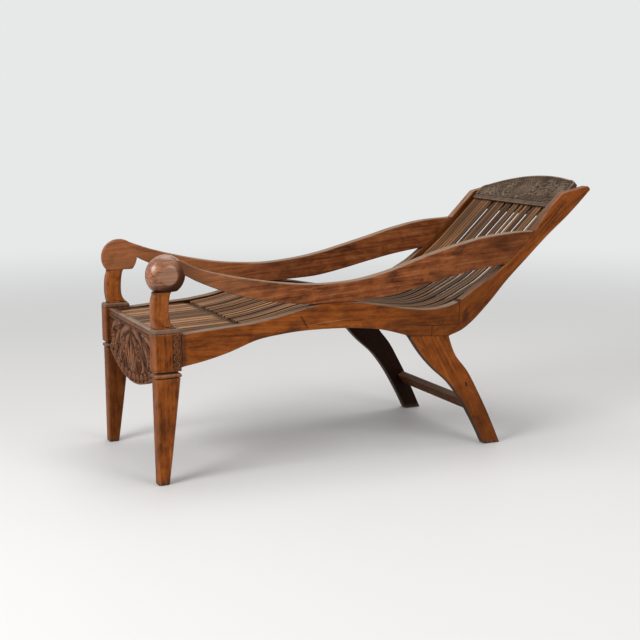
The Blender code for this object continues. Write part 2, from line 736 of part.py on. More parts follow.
def front_apron():
    half = BLOCK_INNER - FIT
    top = SEAT_HEIGHT - APRON_DROP
    end, middle = SEAT_HEIGHT - APRON_END_DEPTH - APRON_DROP, SEAT_HEIGHT - APRON_MID_DEPTH - APRON_DROP
    steps = 24
    outline = [Vector((half, top)), Vector((-half, top))]
    for step in range(steps + 1):
        share = 2 * step / steps - 1
        outline.append(Vector((half * share, middle + (end - middle) * share ** 2)))
    plane = front_plane(APRON_BACK + APRON_THICKNESS / 2)
    seams = ([outline[0], outline[-1]], [outline[1], outline[2]])
    apron = extruded("front_apron", outline, APRON_THICKNESS, plane, CARVED_WOOD, EASE / 2, seams)
    start, finish = front_slat_path()
    slope = math.atan2(finish.y - start.y, finish.x - start.x)
    along = (finish - start).normalized()
    size = (WIDTH, GROOVE + 0.02, SLAT_THICKNESS + 2 * FIT)
    inward = Vector((along.y, -along.x))
    middle = start + along * (size[1] / 2 - FIT) + inward * (SLAT_THICKNESS / 2)
    boolean(apron, box("apron_groove", size, (0, middle.x, middle.y), slope), "DIFFERENCE")
    return apron


def crest_edge(x):
    """Height of the crest's arched top edge above its lower edge."""
    half = BOARD_INNER - FIT
    flat = half - CREST_SHOULDER
    reach = min(abs(x), flat) / flat
    arch = CREST_MID_HEIGHT - (CREST_MID_HEIGHT - CREST_SHOULDER_HEIGHT) * reach ** 2
    past = max(abs(x) - flat, 0) / CREST_SHOULDER
    drop = (CREST_SHOULDER_HEIGHT - CREST_END_HEIGHT) * (1 - math.sqrt(max(1 - past ** 2, 0)))
    return arch - drop + CREST_TILT * x


def crest_panel():
    half = BOARD_INNER - FIT
    flat = half - CREST_SHOULDER
    marks = [-flat + 2 * flat * step / 18 for step in range(19)]
    corner = [flat + CREST_SHOULDER * math.sin(math.radians(angle)) for angle in (18, 36, 52, 66, 78, 90)]
    xs = [-x for x in corner[::-1]] + marks + corner
    outline = [Vector((-half, 0)), Vector((half, 0))] + [Vector((x, crest_edge(x))) for x in xs[::-1]]
    foot, up, out = crest_frame()
    centre = foot + out * (CREST_PROUD - CREST_THICKNESS / 2)
    turn = Matrix(((1, 0, 0), (0, up.x, out.x), (0, up.y, out.y)))
    matrix = Matrix.Translation((0, centre.x, centre.y)) @ turn.to_4x4()
    return extruded("crest_panel", outline, CREST_THICKNESS, matrix, CARVED_WOOD, EASE / 2)


def top_cross_rail():
    """Rail behind the slats' upper ends and the crest's lower edge."""
    foot, up, out = crest_frame()
    crest_back = CREST_PROUD - CREST_THICKNESS - FIT
    path = slat_path()
    start = foot.x - TOP_CROSS_BELOW * up.x
    under = between(offset_path(path, -SLAT_THICKNESS - FIT), start, foot.x + SLAT_THICKNESS * up.y)
    under = [point for point in under if (point - foot).dot(up) < -SLAT_END_GAP]
    back = crest_back - TOP_CROSS_DEPTH
    outline = under + [
        foot + out * crest_back,
        foot + up * TOP_CROSS_ABOVE + out * crest_back,
        foot + up * TOP_CROSS_ABOVE + out * back,
        foot - up * TOP_CROSS_BELOW + out * back,
    ]
    length = 2 * (BOARD_INNER - FIT)
    return extruded("top_cross_rail", outline, length, side_plane(0), SLAT_WOOD, EASE / 2)


def rear_stretcher():
    half_width, half_thick = STRETCHER_WIDTH / 2, STRETCHER_THICKNESS / 2
    lean = math.radians(STRETCHER_LEAN)
    down = Vector((math.sin(lean), -math.cos(lean)))
    back = Vector((math.cos(lean), math.sin(lean)))
    centre = Vector((STRETCHER_Y, STRETCHER_HEIGHT))
    corners = [
        centre - down * half_width - back * half_thick, centre + down * half_width - back * half_thick,
        centre + down * half_width + back * half_thick, centre - down * half_width + back * half_thick,
    ]
    length = 2 * (BOARD_INNER - FIT)
    return extruded("rear_stretcher", corners, length, side_plane(0), FRAME_WOOD, EASE)


def side_joints(sign, side, pieces):
    """Mortise and tenon joints of one side frame."""
    leg, post, arm_piece = pieces["leg"], pieces["post"], pieces["arm"]
    rail, stile, rear = pieces["rail"], pieces["stile"], pieces["rear"]
    x = sign * BOARD_X
    root = 0.004

    rail_height = 0.070
    length = TENON_LENGTH + root
    tenon(rail, [leg], f"rail_{side}", (TENON, length, rail_height),
          (x, BLOCK_DEPTH - TENON_LENGTH + length / 2, SEAT_HEIGHT - 0.066))

    foot_y = (POST_FRONT[-1][0] + POST_REAR[-1][0]) / 2 - forward(sign)
    head_y = (POST_FRONT[0][0] + POST_REAR[0][0]) / 2 - forward(sign)
    post_tenon = (0.018, 0.024, TENON_LENGTH + root)
    foot_z = SEAT_HEIGHT + CAP_HEIGHT - TENON_LENGTH
    tenon(post, [leg], f"post_foot_{side}", post_tenon, (x, foot_y, foot_z + post_tenon[2] / 2))
    tenon(post, [arm_piece], f"post_head_{side}", post_tenon,
          (x, head_y, POST_TOP + TENON_LENGTH - post_tenon[2] / 2))

    edge = [p for p in frame_top(sign) if p.x > RAIL_END]
    middle = SEAT_HEIGHT + (ARM_TOP_LEFT[-2][1] + ARM_BOTTOM_LEFT[-1][1]) / 2
    along = (Vector((depth_at(edge, middle + 0.03), middle + 0.03))
             - Vector((depth_at(edge, middle - 0.03), middle - 0.03))).normalized()
    inward = Vector((along.y, -along.x))
    seat = Vector((depth_at(edge, middle), middle))
    arm_length = STUB + root
    centre = seat + inward * (STUB - arm_length / 2)
    tenon(arm_piece, [stile], f"arm_{side}", (TENON, arm_length, 0.060), (x, centre.x, centre.y),
          math.atan2(inward.y, inward.x))

    leg_y = SHOULDER_FRONT[0] + 0.045
    leg_length = TENON_LENGTH + root
    tenon(rear, [rail], f"rear_leg_{side}", (TENON, 0.045, leg_length),
          (x, leg_y, shoulder(leg_y) + TENON_LENGTH - leg_length / 2))


def lap_joint(sign, side, rail, stile):
    """The stile's inner cheek runs forward behind the rail, with its peg fixed in it."""
    half = BOARD / 2
    root = 0.006
    cheek_x = sign * (BOARD_INNER + half / 2)
    size = (half - FIT, CHEEK_LENGTH + root, CHEEK_HEIGHT + root)
    centre = (cheek_x, RAIL_END - CHEEK_LENGTH + size[1] / 2, LAP_Z + CHEEK_HEIGHT - size[2] / 2)
    boolean(stile, box(f"lap_{side}_cheek", size, centre), "UNION")
    room = (half + 0.02, size[1] + 0.02, size[2] + 0.02)
    low_y = RAIL_END - CHEEK_LENGTH - FIT
    pocket_centre = (
        sign * (BOARD_INNER + half + FIT - room[0] / 2), low_y + room[1] / 2,
        LAP_Z + CHEEK_HEIGHT + FIT - room[2] / 2)
    boolean(rail, box(f"lap_{side}_pocket", room, pocket_centre), "DIFFERENCE")
    inner_end = BOARD_INNER + root
    outer_end = BOARD_OUTER + PEG_PROUD
    middle = sign * (inner_end + outer_end) / 2
    boolean(stile, peg(f"lap_{side}_peg", PEG_RADIUS, outer_end - inner_end, middle), "UNION")
    boolean(rail, peg(f"lap_{side}_peg_hole", PEG_RADIUS + FIT, BOARD + 0.02, sign * BOARD_X), "DIFFERENCE")


def peg(name, radius, length, x):
    bpy.ops.mesh.primitive_cylinder_add(vertices=12, radius=radius, depth=length)
    item = bpy.context.object
    item.name = name
    item.data.transform(Matrix.Rotation(math.radians(90), 4, "Y"))
    as_cutter(item)
    item.matrix_local = Matrix.Translation((x, PEG_Y, SEAT_HEIGHT - PEG_DROP))
    return item


def stub_tenons(piece, hosts, name, thickness, width, centre, tilt):
    """A stub tenon at each end of a cross piece."""
    root = 0.004
    for side, sign in SIDES.items():
        start = BOARD_INNER - root
        size = (STUB + root, width, thickness)
        x = sign * (start + size[0] / 2)
        tenon(piece, hosts[side], f"{name}_{side}", size, (x, centre[0], centre[1]), tilt)


def cross_joints(frames, apron, crest, rails):
    """Tenons of the apron, the crest, the cross rails and the stretcher."""
    root = 0.004
    for side, sign in SIDES.items():
        length = 0.018 + root
        size = (length, TENON, 0.085)
        middle_y = APRON_BACK + APRON_THICKNESS / 2
        centre = (sign * (BLOCK_INNER - root + length / 2), middle_y, SEAT_HEIGHT - 0.068)
        tenon(apron, [frames[side]["leg"]], f"apron_{side}", size, centre)

    both = {side: [frames[side]["rail"], frames[side]["stile"]] for side in SIDES}
    rail_only = {side: [frames[side]["rail"]] for side in SIDES}
    stile_only = {side: [frames[side]["stile"]] for side in SIDES}
    leg_only = {side: [frames[side]["rear"]] for side in SIDES}
    path = offset_path(slat_path(), -SLAT_THICKNESS - RAIL_DEPTH / 2)
    low_front = front_slat_path()[0].y - SLAT_THICKNESS - RAIL_DEPTH / 2
    stub_tenons(rails["front"], rail_only, "front_cross", TENON, 0.045, (sum(FRONT_CROSS) / 2, low_front), 0)
    bent = (("middle", MIDDLE_CROSS, 0.036, rail_only), ("rear", REAR_CROSS, 0.028, both))
    for key, span, width, hosts in bent:
        y = sum(span) / 2
        slope = math.atan2(height_at(path, span[1]) - height_at(path, span[0]), span[1] - span[0])
        stub_tenons(rails[key], hosts, key + "_cross", TENON, width, (y, height_at(path, y)), slope)
    foot, up, out = crest_frame()
    lean = math.radians(CREST_LEAN)
    behind = foot + out * (CREST_PROUD - CREST_THICKNESS - 0.001 - TOP_CROSS_DEPTH / 2)
    stub_tenons(rails["top"], stile_only, "top_cross", 0.008, 0.036, behind, lean)
    tongue = foot + out * (CREST_PROUD - CREST_THICKNESS / 2) + up * (CREST_END_HEIGHT * 0.5)
    stub_tenons(crest, stile_only, "crest", 0.008, 0.045, tongue, lean)
    tilt = math.radians(-90 + STRETCHER_LEAN)
    stub_tenons(rails["stretcher"], leg_only, "stretcher", TENON, 0.034, (STRETCHER_Y, STRETCHER_HEIGHT), tilt)


def build_chair():
    frames = {}
    for side, sign in SIDES.items():
        frames[side] = {
            "leg": front_leg(side, sign),
            "post": arm_post(side, sign),
            "arm": arm(side, sign),
            "rail": seat_rail(side, sign),
            "stile": back_stile(side, sign),
            "rear": rear_leg(side, sign),
        }
        side_joints(sign, side, frames[side])
        lap_joint(sign, side, frames[side]["rail"], frames[side]["stile"])
    slats()
    path = slat_path()
    rails = {
        "front": front_cross_rail(),
        "middle": cross_rail("middle_cross_rail", *MIDDLE_CROSS, RAIL_DEPTH, path),
        "rear": cross_rail("rear_cross_rail", *REAR_CROSS, RAIL_DEPTH, path),
        "top": top_cross_rail(),
        "stretcher": rear_stretcher(),
    }
    cross_joints(frames, front_apron(), crest_panel(), rails)


build_chair()
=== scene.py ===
"""Planters chair: an old reclining lounge chair of oiled teak, dressed for its picture.

Two side frames carry a run of worn slats from a carved apron, over the knees and up to a carved
crest. Metres, +Z up. The chair faces -Y, and the sitter's left is +X. Depths called y are counted
back from the faces of the front legs, and MIDDLE_Y takes them to the frame's origin.
"""
import math

import bmesh
import bpy
import numpy as np
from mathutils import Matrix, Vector, noise
from mathutils.geometry import interpolate_bezier


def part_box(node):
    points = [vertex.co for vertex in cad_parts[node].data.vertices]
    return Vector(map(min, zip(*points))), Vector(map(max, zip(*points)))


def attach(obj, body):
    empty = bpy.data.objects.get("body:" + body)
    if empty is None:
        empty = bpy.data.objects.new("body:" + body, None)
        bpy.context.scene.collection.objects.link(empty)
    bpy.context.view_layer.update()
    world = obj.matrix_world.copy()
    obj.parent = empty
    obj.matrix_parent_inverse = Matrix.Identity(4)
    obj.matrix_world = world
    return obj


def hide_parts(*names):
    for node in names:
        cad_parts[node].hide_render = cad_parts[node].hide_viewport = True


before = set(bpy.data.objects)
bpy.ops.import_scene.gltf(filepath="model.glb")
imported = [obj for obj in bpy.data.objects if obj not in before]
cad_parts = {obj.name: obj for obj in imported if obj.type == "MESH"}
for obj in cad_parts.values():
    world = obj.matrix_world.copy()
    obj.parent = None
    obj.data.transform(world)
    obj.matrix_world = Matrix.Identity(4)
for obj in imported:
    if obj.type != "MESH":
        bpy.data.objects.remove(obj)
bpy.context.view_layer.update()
SIDES = {"left": 1, "right": -1}
MIDDLE_Y = 0.7905

# The studio
# A pale floor without an edge in view, three soft lights and a plain surround. The camera stands
# in front of the chair's left side, a little above it, as the photographer did.
CAMERA_PLACE = Vector((3.917, -1.903, 1.172))
CAMERA_TURN = math.radians(24.74)
CAMERA_DIP = math.radians(9.83)
LENS = 70.93
SENSOR_WIDTH = 36.0
SOFT_LIGHTS = (
    ("window_light", (1.6, -4.2, 2.7), (0, 0, 0.5), 2.2, 150),
    ("fill_light", (4.6, 1.6, 2.4), (0, 0.1, 0.4), 2.6, 75),
    ("ceiling_light", (-0.3, 0.4, 4.2), (0, 0, 0), 3.0, 70),
)
DAYLIGHT = (0.93, 0.935, 0.94)
DAYLIGHT_STRENGTH = 0.45
WALL_TONE = (0.80, 0.81, 0.81)
FLOOR_TONE = (0.72, 0.71, 0.70)
FLOOR_ROUGHNESS = 0.6
FLOOR_REACH = 30.0
FLOOR_FADE = (1.2, 6.5)

view = bpy.data.cameras.new("camera")
view.lens = LENS
view.sensor_width = SENSOR_WIDTH
view.clip_start = 0.05
view.clip_end = 200.0
camera = bpy.data.objects.new("camera", view)
bpy.context.scene.collection.objects.link(camera)
camera.location = CAMERA_PLACE
sight = Vector((
    -math.cos(CAMERA_TURN) * math.cos(CAMERA_DIP),
    math.sin(CAMERA_TURN) * math.cos(CAMERA_DIP),
    -math.sin(CAMERA_DIP),
))
camera.rotation_euler = sight.to_track_quat("-Z", "Y").to_euler()
bpy.context.scene.camera = camera
bpy.context.scene.view_settings.view_transform = "Standard"


def soft_light(name, place, target, size, power):
    """A round soft light at a place, turned to its target."""
    lamp = bpy.data.lights.new(name, "AREA")
    lamp.shape = "DISK"
    lamp.size = size
    lamp.energy = power
    holder = bpy.data.objects.new(name, lamp)
    bpy.context.scene.collection.objects.link(holder)
    holder.location = place
    holder.rotation_euler = (Vector(target) - Vector(place)).to_track_quat("-Z", "Y").to_euler()


for light in SOFT_LIGHTS:
    soft_light(*light)


class Wire:
    """A shader socket that can be used in sums."""

    def __init__(self, finish, socket):
        self.finish = finish
        self.socket = socket

    def math(self, operation, first, second=None):
        sockets = {0: first} if second is None else {0: first, 1: second}
        return self.finish.node("Math", {"operation": operation}, sockets)

    def __add__(self, other):
        return self.math("ADD", self, other)

    def __radd__(self, other):
        return self.math("ADD", other, self)

    def __sub__(self, other):
        return self.math("SUBTRACT", self, other)

    def __rsub__(self, other):
        return self.math("SUBTRACT", other, self)

    def __mul__(self, other):
        return self.math("MULTIPLY", self, other)

    def __rmul__(self, other):
        return self.math("MULTIPLY", other, self)

    def __truediv__(self, other):
        return self.math("DIVIDE", self, other)

    def __pow__(self, other):
        return self.math("POWER", self, other)

    def low(self, other):
        return self.math("MINIMUM", self, other)

    def high(self, other):
        return self.math("MAXIMUM", self, other)

    def size(self):
        return self.math("ABSOLUTE", self)


class Finish:
    """The nodes of a material or of the world."""

    def __init__(self, owner):
        owner.use_nodes = True
        self.owner = owner
        self.tree = owner.node_tree

    def node(self, kind, settings=None, sockets=None, out=0):
        """Adds a node, sets it, feeds its sockets and returns one of its outputs."""
        node = self.tree.nodes.new("ShaderNode" + kind)
        for key, value in (settings or {}).items():
            if key == "stops":
                while len(node.color_ramp.elements) < len(value):
                    node.color_ramp.elements.new(0.5)
                for element, (place, colour) in zip(node.color_ramp.elements, value):
                    element.position = place
                    element.color = (*colour, 1)
            else:
                setattr(node, key, value)
        for key, value in (sockets or {}).items():
            self.feed(node.inputs[key], value)
        return Wire(self, node.outputs[out])

    def feed(self, socket, value):
        """Links a wire to the socket, or sets the socket's own value."""
        if isinstance(value, Wire):
            self.tree.links.new(value.socket, socket)
        elif isinstance(value, tuple) and len(value) == 3 and socket.type == "RGBA":
            socket.default_value = (*value, 1)
        else:
            socket.default_value = value

    def blend(self, share, first, second):
        """The first colour, covered by the second one by the share."""
        return self.node("Mix", {"data_type": "RGBA"}, {0: share, 6: first, 7: second}, 2)

    def shade(self, colour, factor):
        """The colour times a number."""
        return self.node("VectorMath", {"operation": "SCALE"}, {0: colour, "Scale": factor})

    def step(self, value, start, end):
        """0 below start, 1 above end, and smooth between."""
        settings = {"interpolation_type": "SMOOTHSTEP"}
        return self.node("MapRange", settings, {"Value": value, "From Min": start, "From Max": end})

    def grain_noise(self, place, scale, detail=2.0, rough=0.5, warp=0.0):
        """Noise on a place stretched by a scale for each axis."""
        spread = self.node("VectorMath", {"operation": "MULTIPLY"}, {0: place, 1: scale})
        sockets = {"Vector": spread, "Scale": 1.0, "Detail": detail, "Roughness": rough, "Distortion": warp}
        return self.node("TexNoise", None, sockets)

    def finish(self, sockets, heights=()):
        """Sets the shader's sockets. heights are (value, depth in metres) pairs for the bump."""
        shader = self.tree.nodes["Principled BSDF"]
        for key, value in sockets.items():
            self.feed(shader.inputs[key], value)
        bump = {}
        for value, depth in heights:
            dent = {"Height": value, "Distance": depth, "Strength": 1.0, **bump}
            bump = {"Normal": self.node("Bump", None, dent)}
            self.feed(shader.inputs["Normal"], bump["Normal"])
        return self.owner

    def seen(self, close, distant, share, output):
        """Shows the camera the distant shader by the share. Other light meets the close one."""
        looked_at = self.node("LightPath", None, None, "Is Camera Ray")
        for ray in ("Is Glossy Ray", "Is Transmission Ray"):
            looked_at = looked_at.high(self.node("LightPath", None, None, ray))
        mixed = self.node("MixShader", None, {0: looked_at * share, 1: close, 2: distant})
        self.feed(self.tree.nodes[output].inputs[0], mixed)


sky = Finish(bpy.data.worlds.new("surround"))
bpy.context.scene.world = sky.owner
daylight = sky.node("Background", None, {"Color": DAYLIGHT, "Strength": DAYLIGHT_STRENGTH})
sky.seen(daylight, sky.node("Background", None, {"Color": WALL_TONE, "Strength": 1.0}), 1.0, "World Output")

floor_mesh = bpy.data.meshes.new("floor")
floor_corners = [(x * FLOOR_REACH, y * FLOOR_REACH, 0) for x, y in ((-1, -1), (1, -1), (1, 1), (-1, 1))]
floor_mesh.from_pydata(floor_corners, [], [(0, 1, 2, 3)])
floor = bpy.data.objects.new("floor", floor_mesh)
bpy.context.scene.collection.objects.link(floor)
pale = Finish(bpy.data.materials.new("pale_floor"))
floor_mesh.materials.append(pale.finish({"Base Color": FLOOR_TONE, "Roughness": FLOOR_ROUGHNESS}))
spot = pale.node("TexCoord", None, None, "Object")
away = pale.node("VectorMath", {"operation": "LENGTH"}, {0: spot}, "Value")
pale.seen(Wire(pale, pale.tree.nodes["Principled BSDF"].outputs[0]),
          pale.node("Emission", None, {"Color": WALL_TONE}), pale.step(away, *FLOOR_FADE), "Material Output")

# Front legs
# Each is one stick of teak: a cushioned cap, a square block for the joints, a cove, a bead, and a
# shaft that tapers to the foot. A strip of scrollwork is cut down the rear edge of its outer face.
WIDTH = 0.610
SEAT_HEIGHT = 0.476
BLOCK_WIDTH = 0.054
BLOCK_DEPTH = 0.088
BLOCK_HEIGHT = 0.119
BLOCK_FOOT = SEAT_HEIGHT - BLOCK_HEIGHT
BLOCK_INNER = WIDTH / 2 - BLOCK_WIDTH
BLOCK_ARRIS = 0.0078
SCRATCHED_LINE = (0.0065, 0.0012)
CAP_HEIGHT = 0.014
CAP_INSET = 0.004
CAP_ARRIS = 0.004
CAP_CURVE = ((1.0, 1.35), (0.985, 1.1), (0.93, 0.85), (0.75, 0.50), (0.55, 0.24), (0.35, 0.12), (0.16, 0.1))
BEAD_TOP = BLOCK_FOOT - 0.0080
BEAD_RADIUS = 0.0056
BEAD_INSET = 0.0050
BEAD_SWELL = 0.0046
BEAD_ARRIS = 0.006
GROOVE_TOP = BEAD_TOP - 2 * BEAD_RADIUS
SHAFT_TOP = GROOVE_TOP - 0.0044
SHAFT_INSET = 0.004
SHAFT_ARRIS = 0.0068
SHAFT_SWELL = 0.0008
FOOT_WIDTH = 0.038
FOOT_DEPTH = 0.036
FOOT_BACK = 0.006
FOOT_CHAMFER = 0.0022
FOOT_ARRIS = 0.0045
BLOCK_STEPS, BEAD_STEPS, SHAFT_STEPS = 84, 8, 26
# Where the levels down the block start, and how far they go.
BLOCK_FIRST, BLOCK_SPAN = SEAT_HEIGHT - 0.0038, BLOCK_HEIGHT - 0.0070
OUTER_FACE = WIDTH / 2 - 0.0025
UNEVEN = 0.0005
# Rise, inset, arris, wear and dirt, for levels below the cap, in the cove and under the bead.
UNDER_CAP = (
    (0.0008, 0.0012, 0.004, 0, 0.6), (-0.0004, 0.0017, 0.004, 0, 0.6), (-0.0016, 0.0010, 0.004, 0.3, 0.3),
    (-0.0028, 0.0002, 0.004, 0.8, 0), (-0.0038, 0, 0.005, 0.3, 0),
)
COVE = (
    (0.0030, 0, 0.005, 0.2, 0), (0.0014, 0.0006, 0.005, 0.2, 0), (0.0003, 0.0024, 0.005, 0, 0.4),
    (0, 0.0050, 0.005, 0, 0.9), (-0.0008, 0.0086, 0.005, 0, 1.0), (-0.0030, 0.0100, 0.005, 0, 1.0),
    (-0.0058, 0.0090, 0.005, 0, 0.8), (-0.0078, 0.0060, 0.005, 0.2, 0.2),
)
GROOVE = (
    (-0.0004, 0.0070, 0.005, 0, 0.9), (-0.0019, 0.0074, 0.005, 0, 0.9), (-0.0028, 0.0052, 0.005, 0, 0.4),
    (-0.0044, SHAFT_INSET, 0.005, 0.3, 0),
)
OILED = ((0.062, 0.015, 0.0025), (0.140, 0.034, 0.0044), (0.225, 0.057, 0.0070), (0.30, 0.092, 0.016))
FIGURE_STOPS = (0.34, 0.44, 0.55, 0.68)
# Scale across and along the grain, detail, roughness and warp of each pattern in the wood: bands,
# streaks, fibres, blotches and mottling.
WOOD_PATTERNS = (
    (46, 2.6, 4.0, 0.62, 0.9), (150, 6.0, 3.0, 0.6, 0.4), (900, 26, 2.0, 0.6, 0.0),
    (13, 7, 3.0, 0.55, 0.6), (34, 20, 4.0, 0.65, 0.4),
)
# Near black, for painted shade on sides turned away from the light.
PAINTED_SHADE_TONE = (0.005, 0.0015, 0.0005)
GREY_CAP = (2, SEAT_HEIGHT - 0.0035, SEAT_HEIGHT + 0.0025, 0.75, (0.135, 0.088, 0.062))
STAIN = (0.030, 0.009, 0.0025)
HANDWORN = (0.31, 0.205, 0.135)
DUST = (0.25, 0.190, 0.140)
FOOT_DIRT, FOOT_SCUFF = (0.050, 0.032, 0.022), (0.19, 0.135, 0.095)
SOILED_RISE = (0.008, 0.030)
JOINT_DIRT = (0.012, 0.006, 0.003)
COAT = {"Coat Roughness": 0.26, "Specular IOR Level": 0.06}


def teak(name, grain=0.0, centre=(0, 0, 0), shades=OILED, gloss=0.34, wear=1.0, dust=0.5, stains=1.0,
         marks=(), along="y", figured=(0.40, 0.50, 0.45), faces=(), tints=(), polish=0.05):
    """Oiled teak. grain is the angle of the grain above the level, seen from the side. figured is
    the strength of bands, streaks and mottling. faces are sides with a tone of their own, mostly
    painted shade on sides turned from the light, else a paler or dustier side, as (direction, start,
    end, strength, colour), and tints are (axis, start, end, strength, colour).
    marks are lines and spots on the side faces, as (y, z, angle, length, breadth, strength, colour)."""
    wood = Finish(bpy.data.materials.new(name))
    here = wood.node("TexCoord", None, None, "Object")
    place = wood.node("VectorMath", {"operation": "SUBTRACT"}, {0: here, 1: centre})
    place = wood.node("VectorRotate", {"rotation_type": "X_AXIS"}, {"Vector": place, "Angle": -grain})
    patterns = []
    for across, down, *rest in WOOD_PATTERNS:
        scale = tuple(down if axis == along else across for axis in "xyz")
        patterns.append(wood.grain_noise(place, scale, *rest))
    bands, streaks, fibres, blotches, mottle = patterns
    figure = 0.5
    for pattern, strength in zip((bands, streaks, mottle), figured):
        figure = (pattern - 0.5) * strength + figure
    colour = wood.node("ValToRGB", {"stops": tuple(zip(FIGURE_STOPS, shades))}, {0: figure})
    colour = wood.shade(colour, wood.step(fibres, 0.30, 0.52) * 0.30 + 0.75)
    dark = wood.step(blotches, 0.52, 0.78) * (0.72 * stains)
    colour = wood.blend(dark, colour, STAIN)
    patchy = wood.step(streaks * 0.5 + blotches * 0.5, 0.36, 0.60)
    axes = [wood.node("SeparateXYZ", None, {0: here}, axis) for axis in range(3)]
    for axis, start, end, strength, tint in tints:
        share = wood.step(axes[axis], start, end) * (0.55 + patchy * 0.45) * strength
        colour = wood.blend(share, colour, tint)
    facing = wood.node("NewGeometry", None, None, 1)
    level = wood.node("SeparateXYZ", None, {0: facing}, 2)
    dulled = 0.0
    # Each face entry tints a side: painted shade on sides turned from the light, or a paler or dustier side.
    for direction, start, end, strength, tone in faces:
        towards = wood.node("VectorMath", {"operation": "DOT_PRODUCT"}, {0: facing, 1: direction}, 1)
        share = wood.step(towards, start, end) * strength
        colour = wood.blend(share, colour, tone)
        dulled = share + dulled
    # Faces that look down are painted darker, as painted shade under things.
    colour = wood.shade(colour, 1 - wood.step(level * -1.0, 0.25, 0.95) * 0.45)
    edge = wood.node("Attribute", {"attribute_name": "worn"}, None, 2)
    upward = wood.step(level, 0.30, 0.95)
    rubbed = (edge * (0.25 + upward * 0.75) * (0.35 + patchy * 0.65) * wear).low(0.9)
    colour = wood.blend(rubbed, colour, HANDWORN)
    dusty = upward * (0.35 + patchy * 0.65) * dust
    colour = wood.blend(dusty, colour, DUST)
    soiled = (1 - wood.step(axes[2] + streaks * 0.02, *SOILED_RISE)) * 0.75
    colour = wood.blend(soiled, colour, wood.blend(wood.step(streaks, 0.50, 0.64), FOOT_DIRT, FOOT_SCUFF))
    joint = wood.node("Attribute", {"attribute_name": "joint"}, None, 2)
    colour = wood.blend(joint * 0.85, colour, JOINT_DIRT)
    for y, z, angle, length, breadth, strength, tone in marks:
        spot = mark_mask(wood, here, y, z, angle, length, breadth)
        colour = wood.blend(spot * strength, colour, tone)
    roughness = gloss + wood.step(fibres, 0.35, 0.7) * 0.10 + blotches * 0.14 + rubbed * 0.22 + dusty * 0.2
    coat = polish * (1 - rubbed * 0.9) * (1 - dulled)
    sockets = {"Base Color": colour, "Roughness": roughness, "Coat Weight": coat, **COAT}
    return wood.finish(sockets, ((blotches, 0.0024), (streaks, 0.0005), (fibres, 0.0003)))


def painted_shade_side(sign, strength):
    """Painted shade, near black, on the inner side of a piece in a side frame, as a face for teak."""
    return (((-sign, 0, 0), 0.1, 0.8, strength, PAINTED_SHADE_TONE),)


def mark_mask(wood, place, y, z, angle, length, breadth):
    """Where a line or spot lies on a side face, at y and z of the frame."""
    offset = wood.node("VectorMath", {"operation": "SUBTRACT"}, {0: place, 1: (0, y, z)})
    turned = wood.node("VectorRotate", {"rotation_type": "X_AXIS"}, {"Vector": offset, "Angle": -angle})
    wobble = wood.grain_noise(place, (60, 60, 60), 2.0)
    side = wood.node("SeparateXYZ", None, {0: turned}, 2) + (wobble - 0.5) * (breadth * 1.5)
    ahead = wood.node("SeparateXYZ", None, {0: turned}, 1)
    return 1 - wood.step((side / breadth) ** 2 + (ahead / length) ** 2, 0.35, 1.0)


def mesh_piece(name, points, faces, material, attributes, flat):
    """A mesh object in the frame, from points whose y counts from the legs' faces."""
    mesh = bpy.data.meshes.new(name)
    mesh.from_pydata([(x, y - MIDDLE_Y, z) for x, y, z in points], [], faces)
    mesh.polygons.foreach_set("use_smooth", [index not in flat for index in range(len(faces))])
    for key, values in attributes.items():
        kind, content = ("FLOAT_VECTOR", "vector") if np.ndim(values) == 2 else ("FLOAT", "value")
        layer = mesh.attributes.new(key, kind, "POINT")
        layer.data.foreach_set(content, np.ravel(values).astype(float))
    mesh.materials.append(material)
    mesh.validate()
    piece = bpy.data.objects.new(name, mesh)
    bpy.context.scene.collection.objects.link(piece)
    shape = bmesh.new()
    shape.from_mesh(mesh)
    bmesh.ops.recalc_face_normals(shape, faces=shape.faces)
    shape.to_mesh(mesh)
    shape.free()
    return piece


def ring_piece(name, points, size, material, attributes):
    """A mesh object of rings of points, each joined to the next one, with a flat face at each end."""
    count = len(points) // size
    faces = []
    for start in range(0, (count - 1) * size, size):
        for index in range(size):
            following = (index + 1) % size
            faces.append((start + index, start + following, start + size + following, start + size + index))
    faces += [tuple(range(size)), tuple(range((count - 1) * size, count * size))]
    return mesh_piece(name, points, faces, material, attributes, (len(faces) - 2, len(faces) - 1))


def fit(piece, slot, *nodes):
    """The piece stands for CAD nodes, which it hides, and joins the root body."""
    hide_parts(*nodes)
    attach(piece, "root")
    return piece


RING_SIDES, RING_CORNER = (18, 70), 5


def square_ring(x_low, x_high, y_low, y_high, arris):
    """Points round a square section with rounded arrises, and how far each is into a corner."""
    ring, centres = [], []
    for x, y in ((x_high, y_low), (x_high, y_high), (x_low, y_high), (x_low, y_low)):
        inner_x = x - math.copysign(arris, x - (x_low + x_high) / 2)
        centres.append((inner_x, y - math.copysign(arris, y - (y_low + y_high) / 2)))
    for index, centre in enumerate(centres):
        angle = 90 * (index - 1)
        for step in range(RING_CORNER + 1):
            turn = math.radians(angle + 90 * step / RING_CORNER)
            depth = math.sin(math.pi * step / RING_CORNER)
            ring.append((centre[0] + arris * math.cos(turn), centre[1] + arris * math.sin(turn), depth))
        turn = math.radians(angle + 90)
        following = centres[(index + 1) % 4]
        start, end = (
            (x + arris * math.cos(turn), y + arris * math.sin(turn)) for x, y in (centre, following))
        count = RING_SIDES[1 - index % 2]
        for step in range(1, count):
            share = step / count
            ring.append((*(low + (high - low) * share for low, high in zip(start, end)), 0.0))
    return ring


STRIP_TOP = SEAT_HEIGHT - 0.004
STRIP_LENGTH = 0.106
STRIP_REAR = BLOCK_DEPTH - 0.0015
STRIP_WIDTH = 0.030
STRIP_BORDER = 0.003
STRIP_CUT = 0.0026
STRIP_BENDS = 5


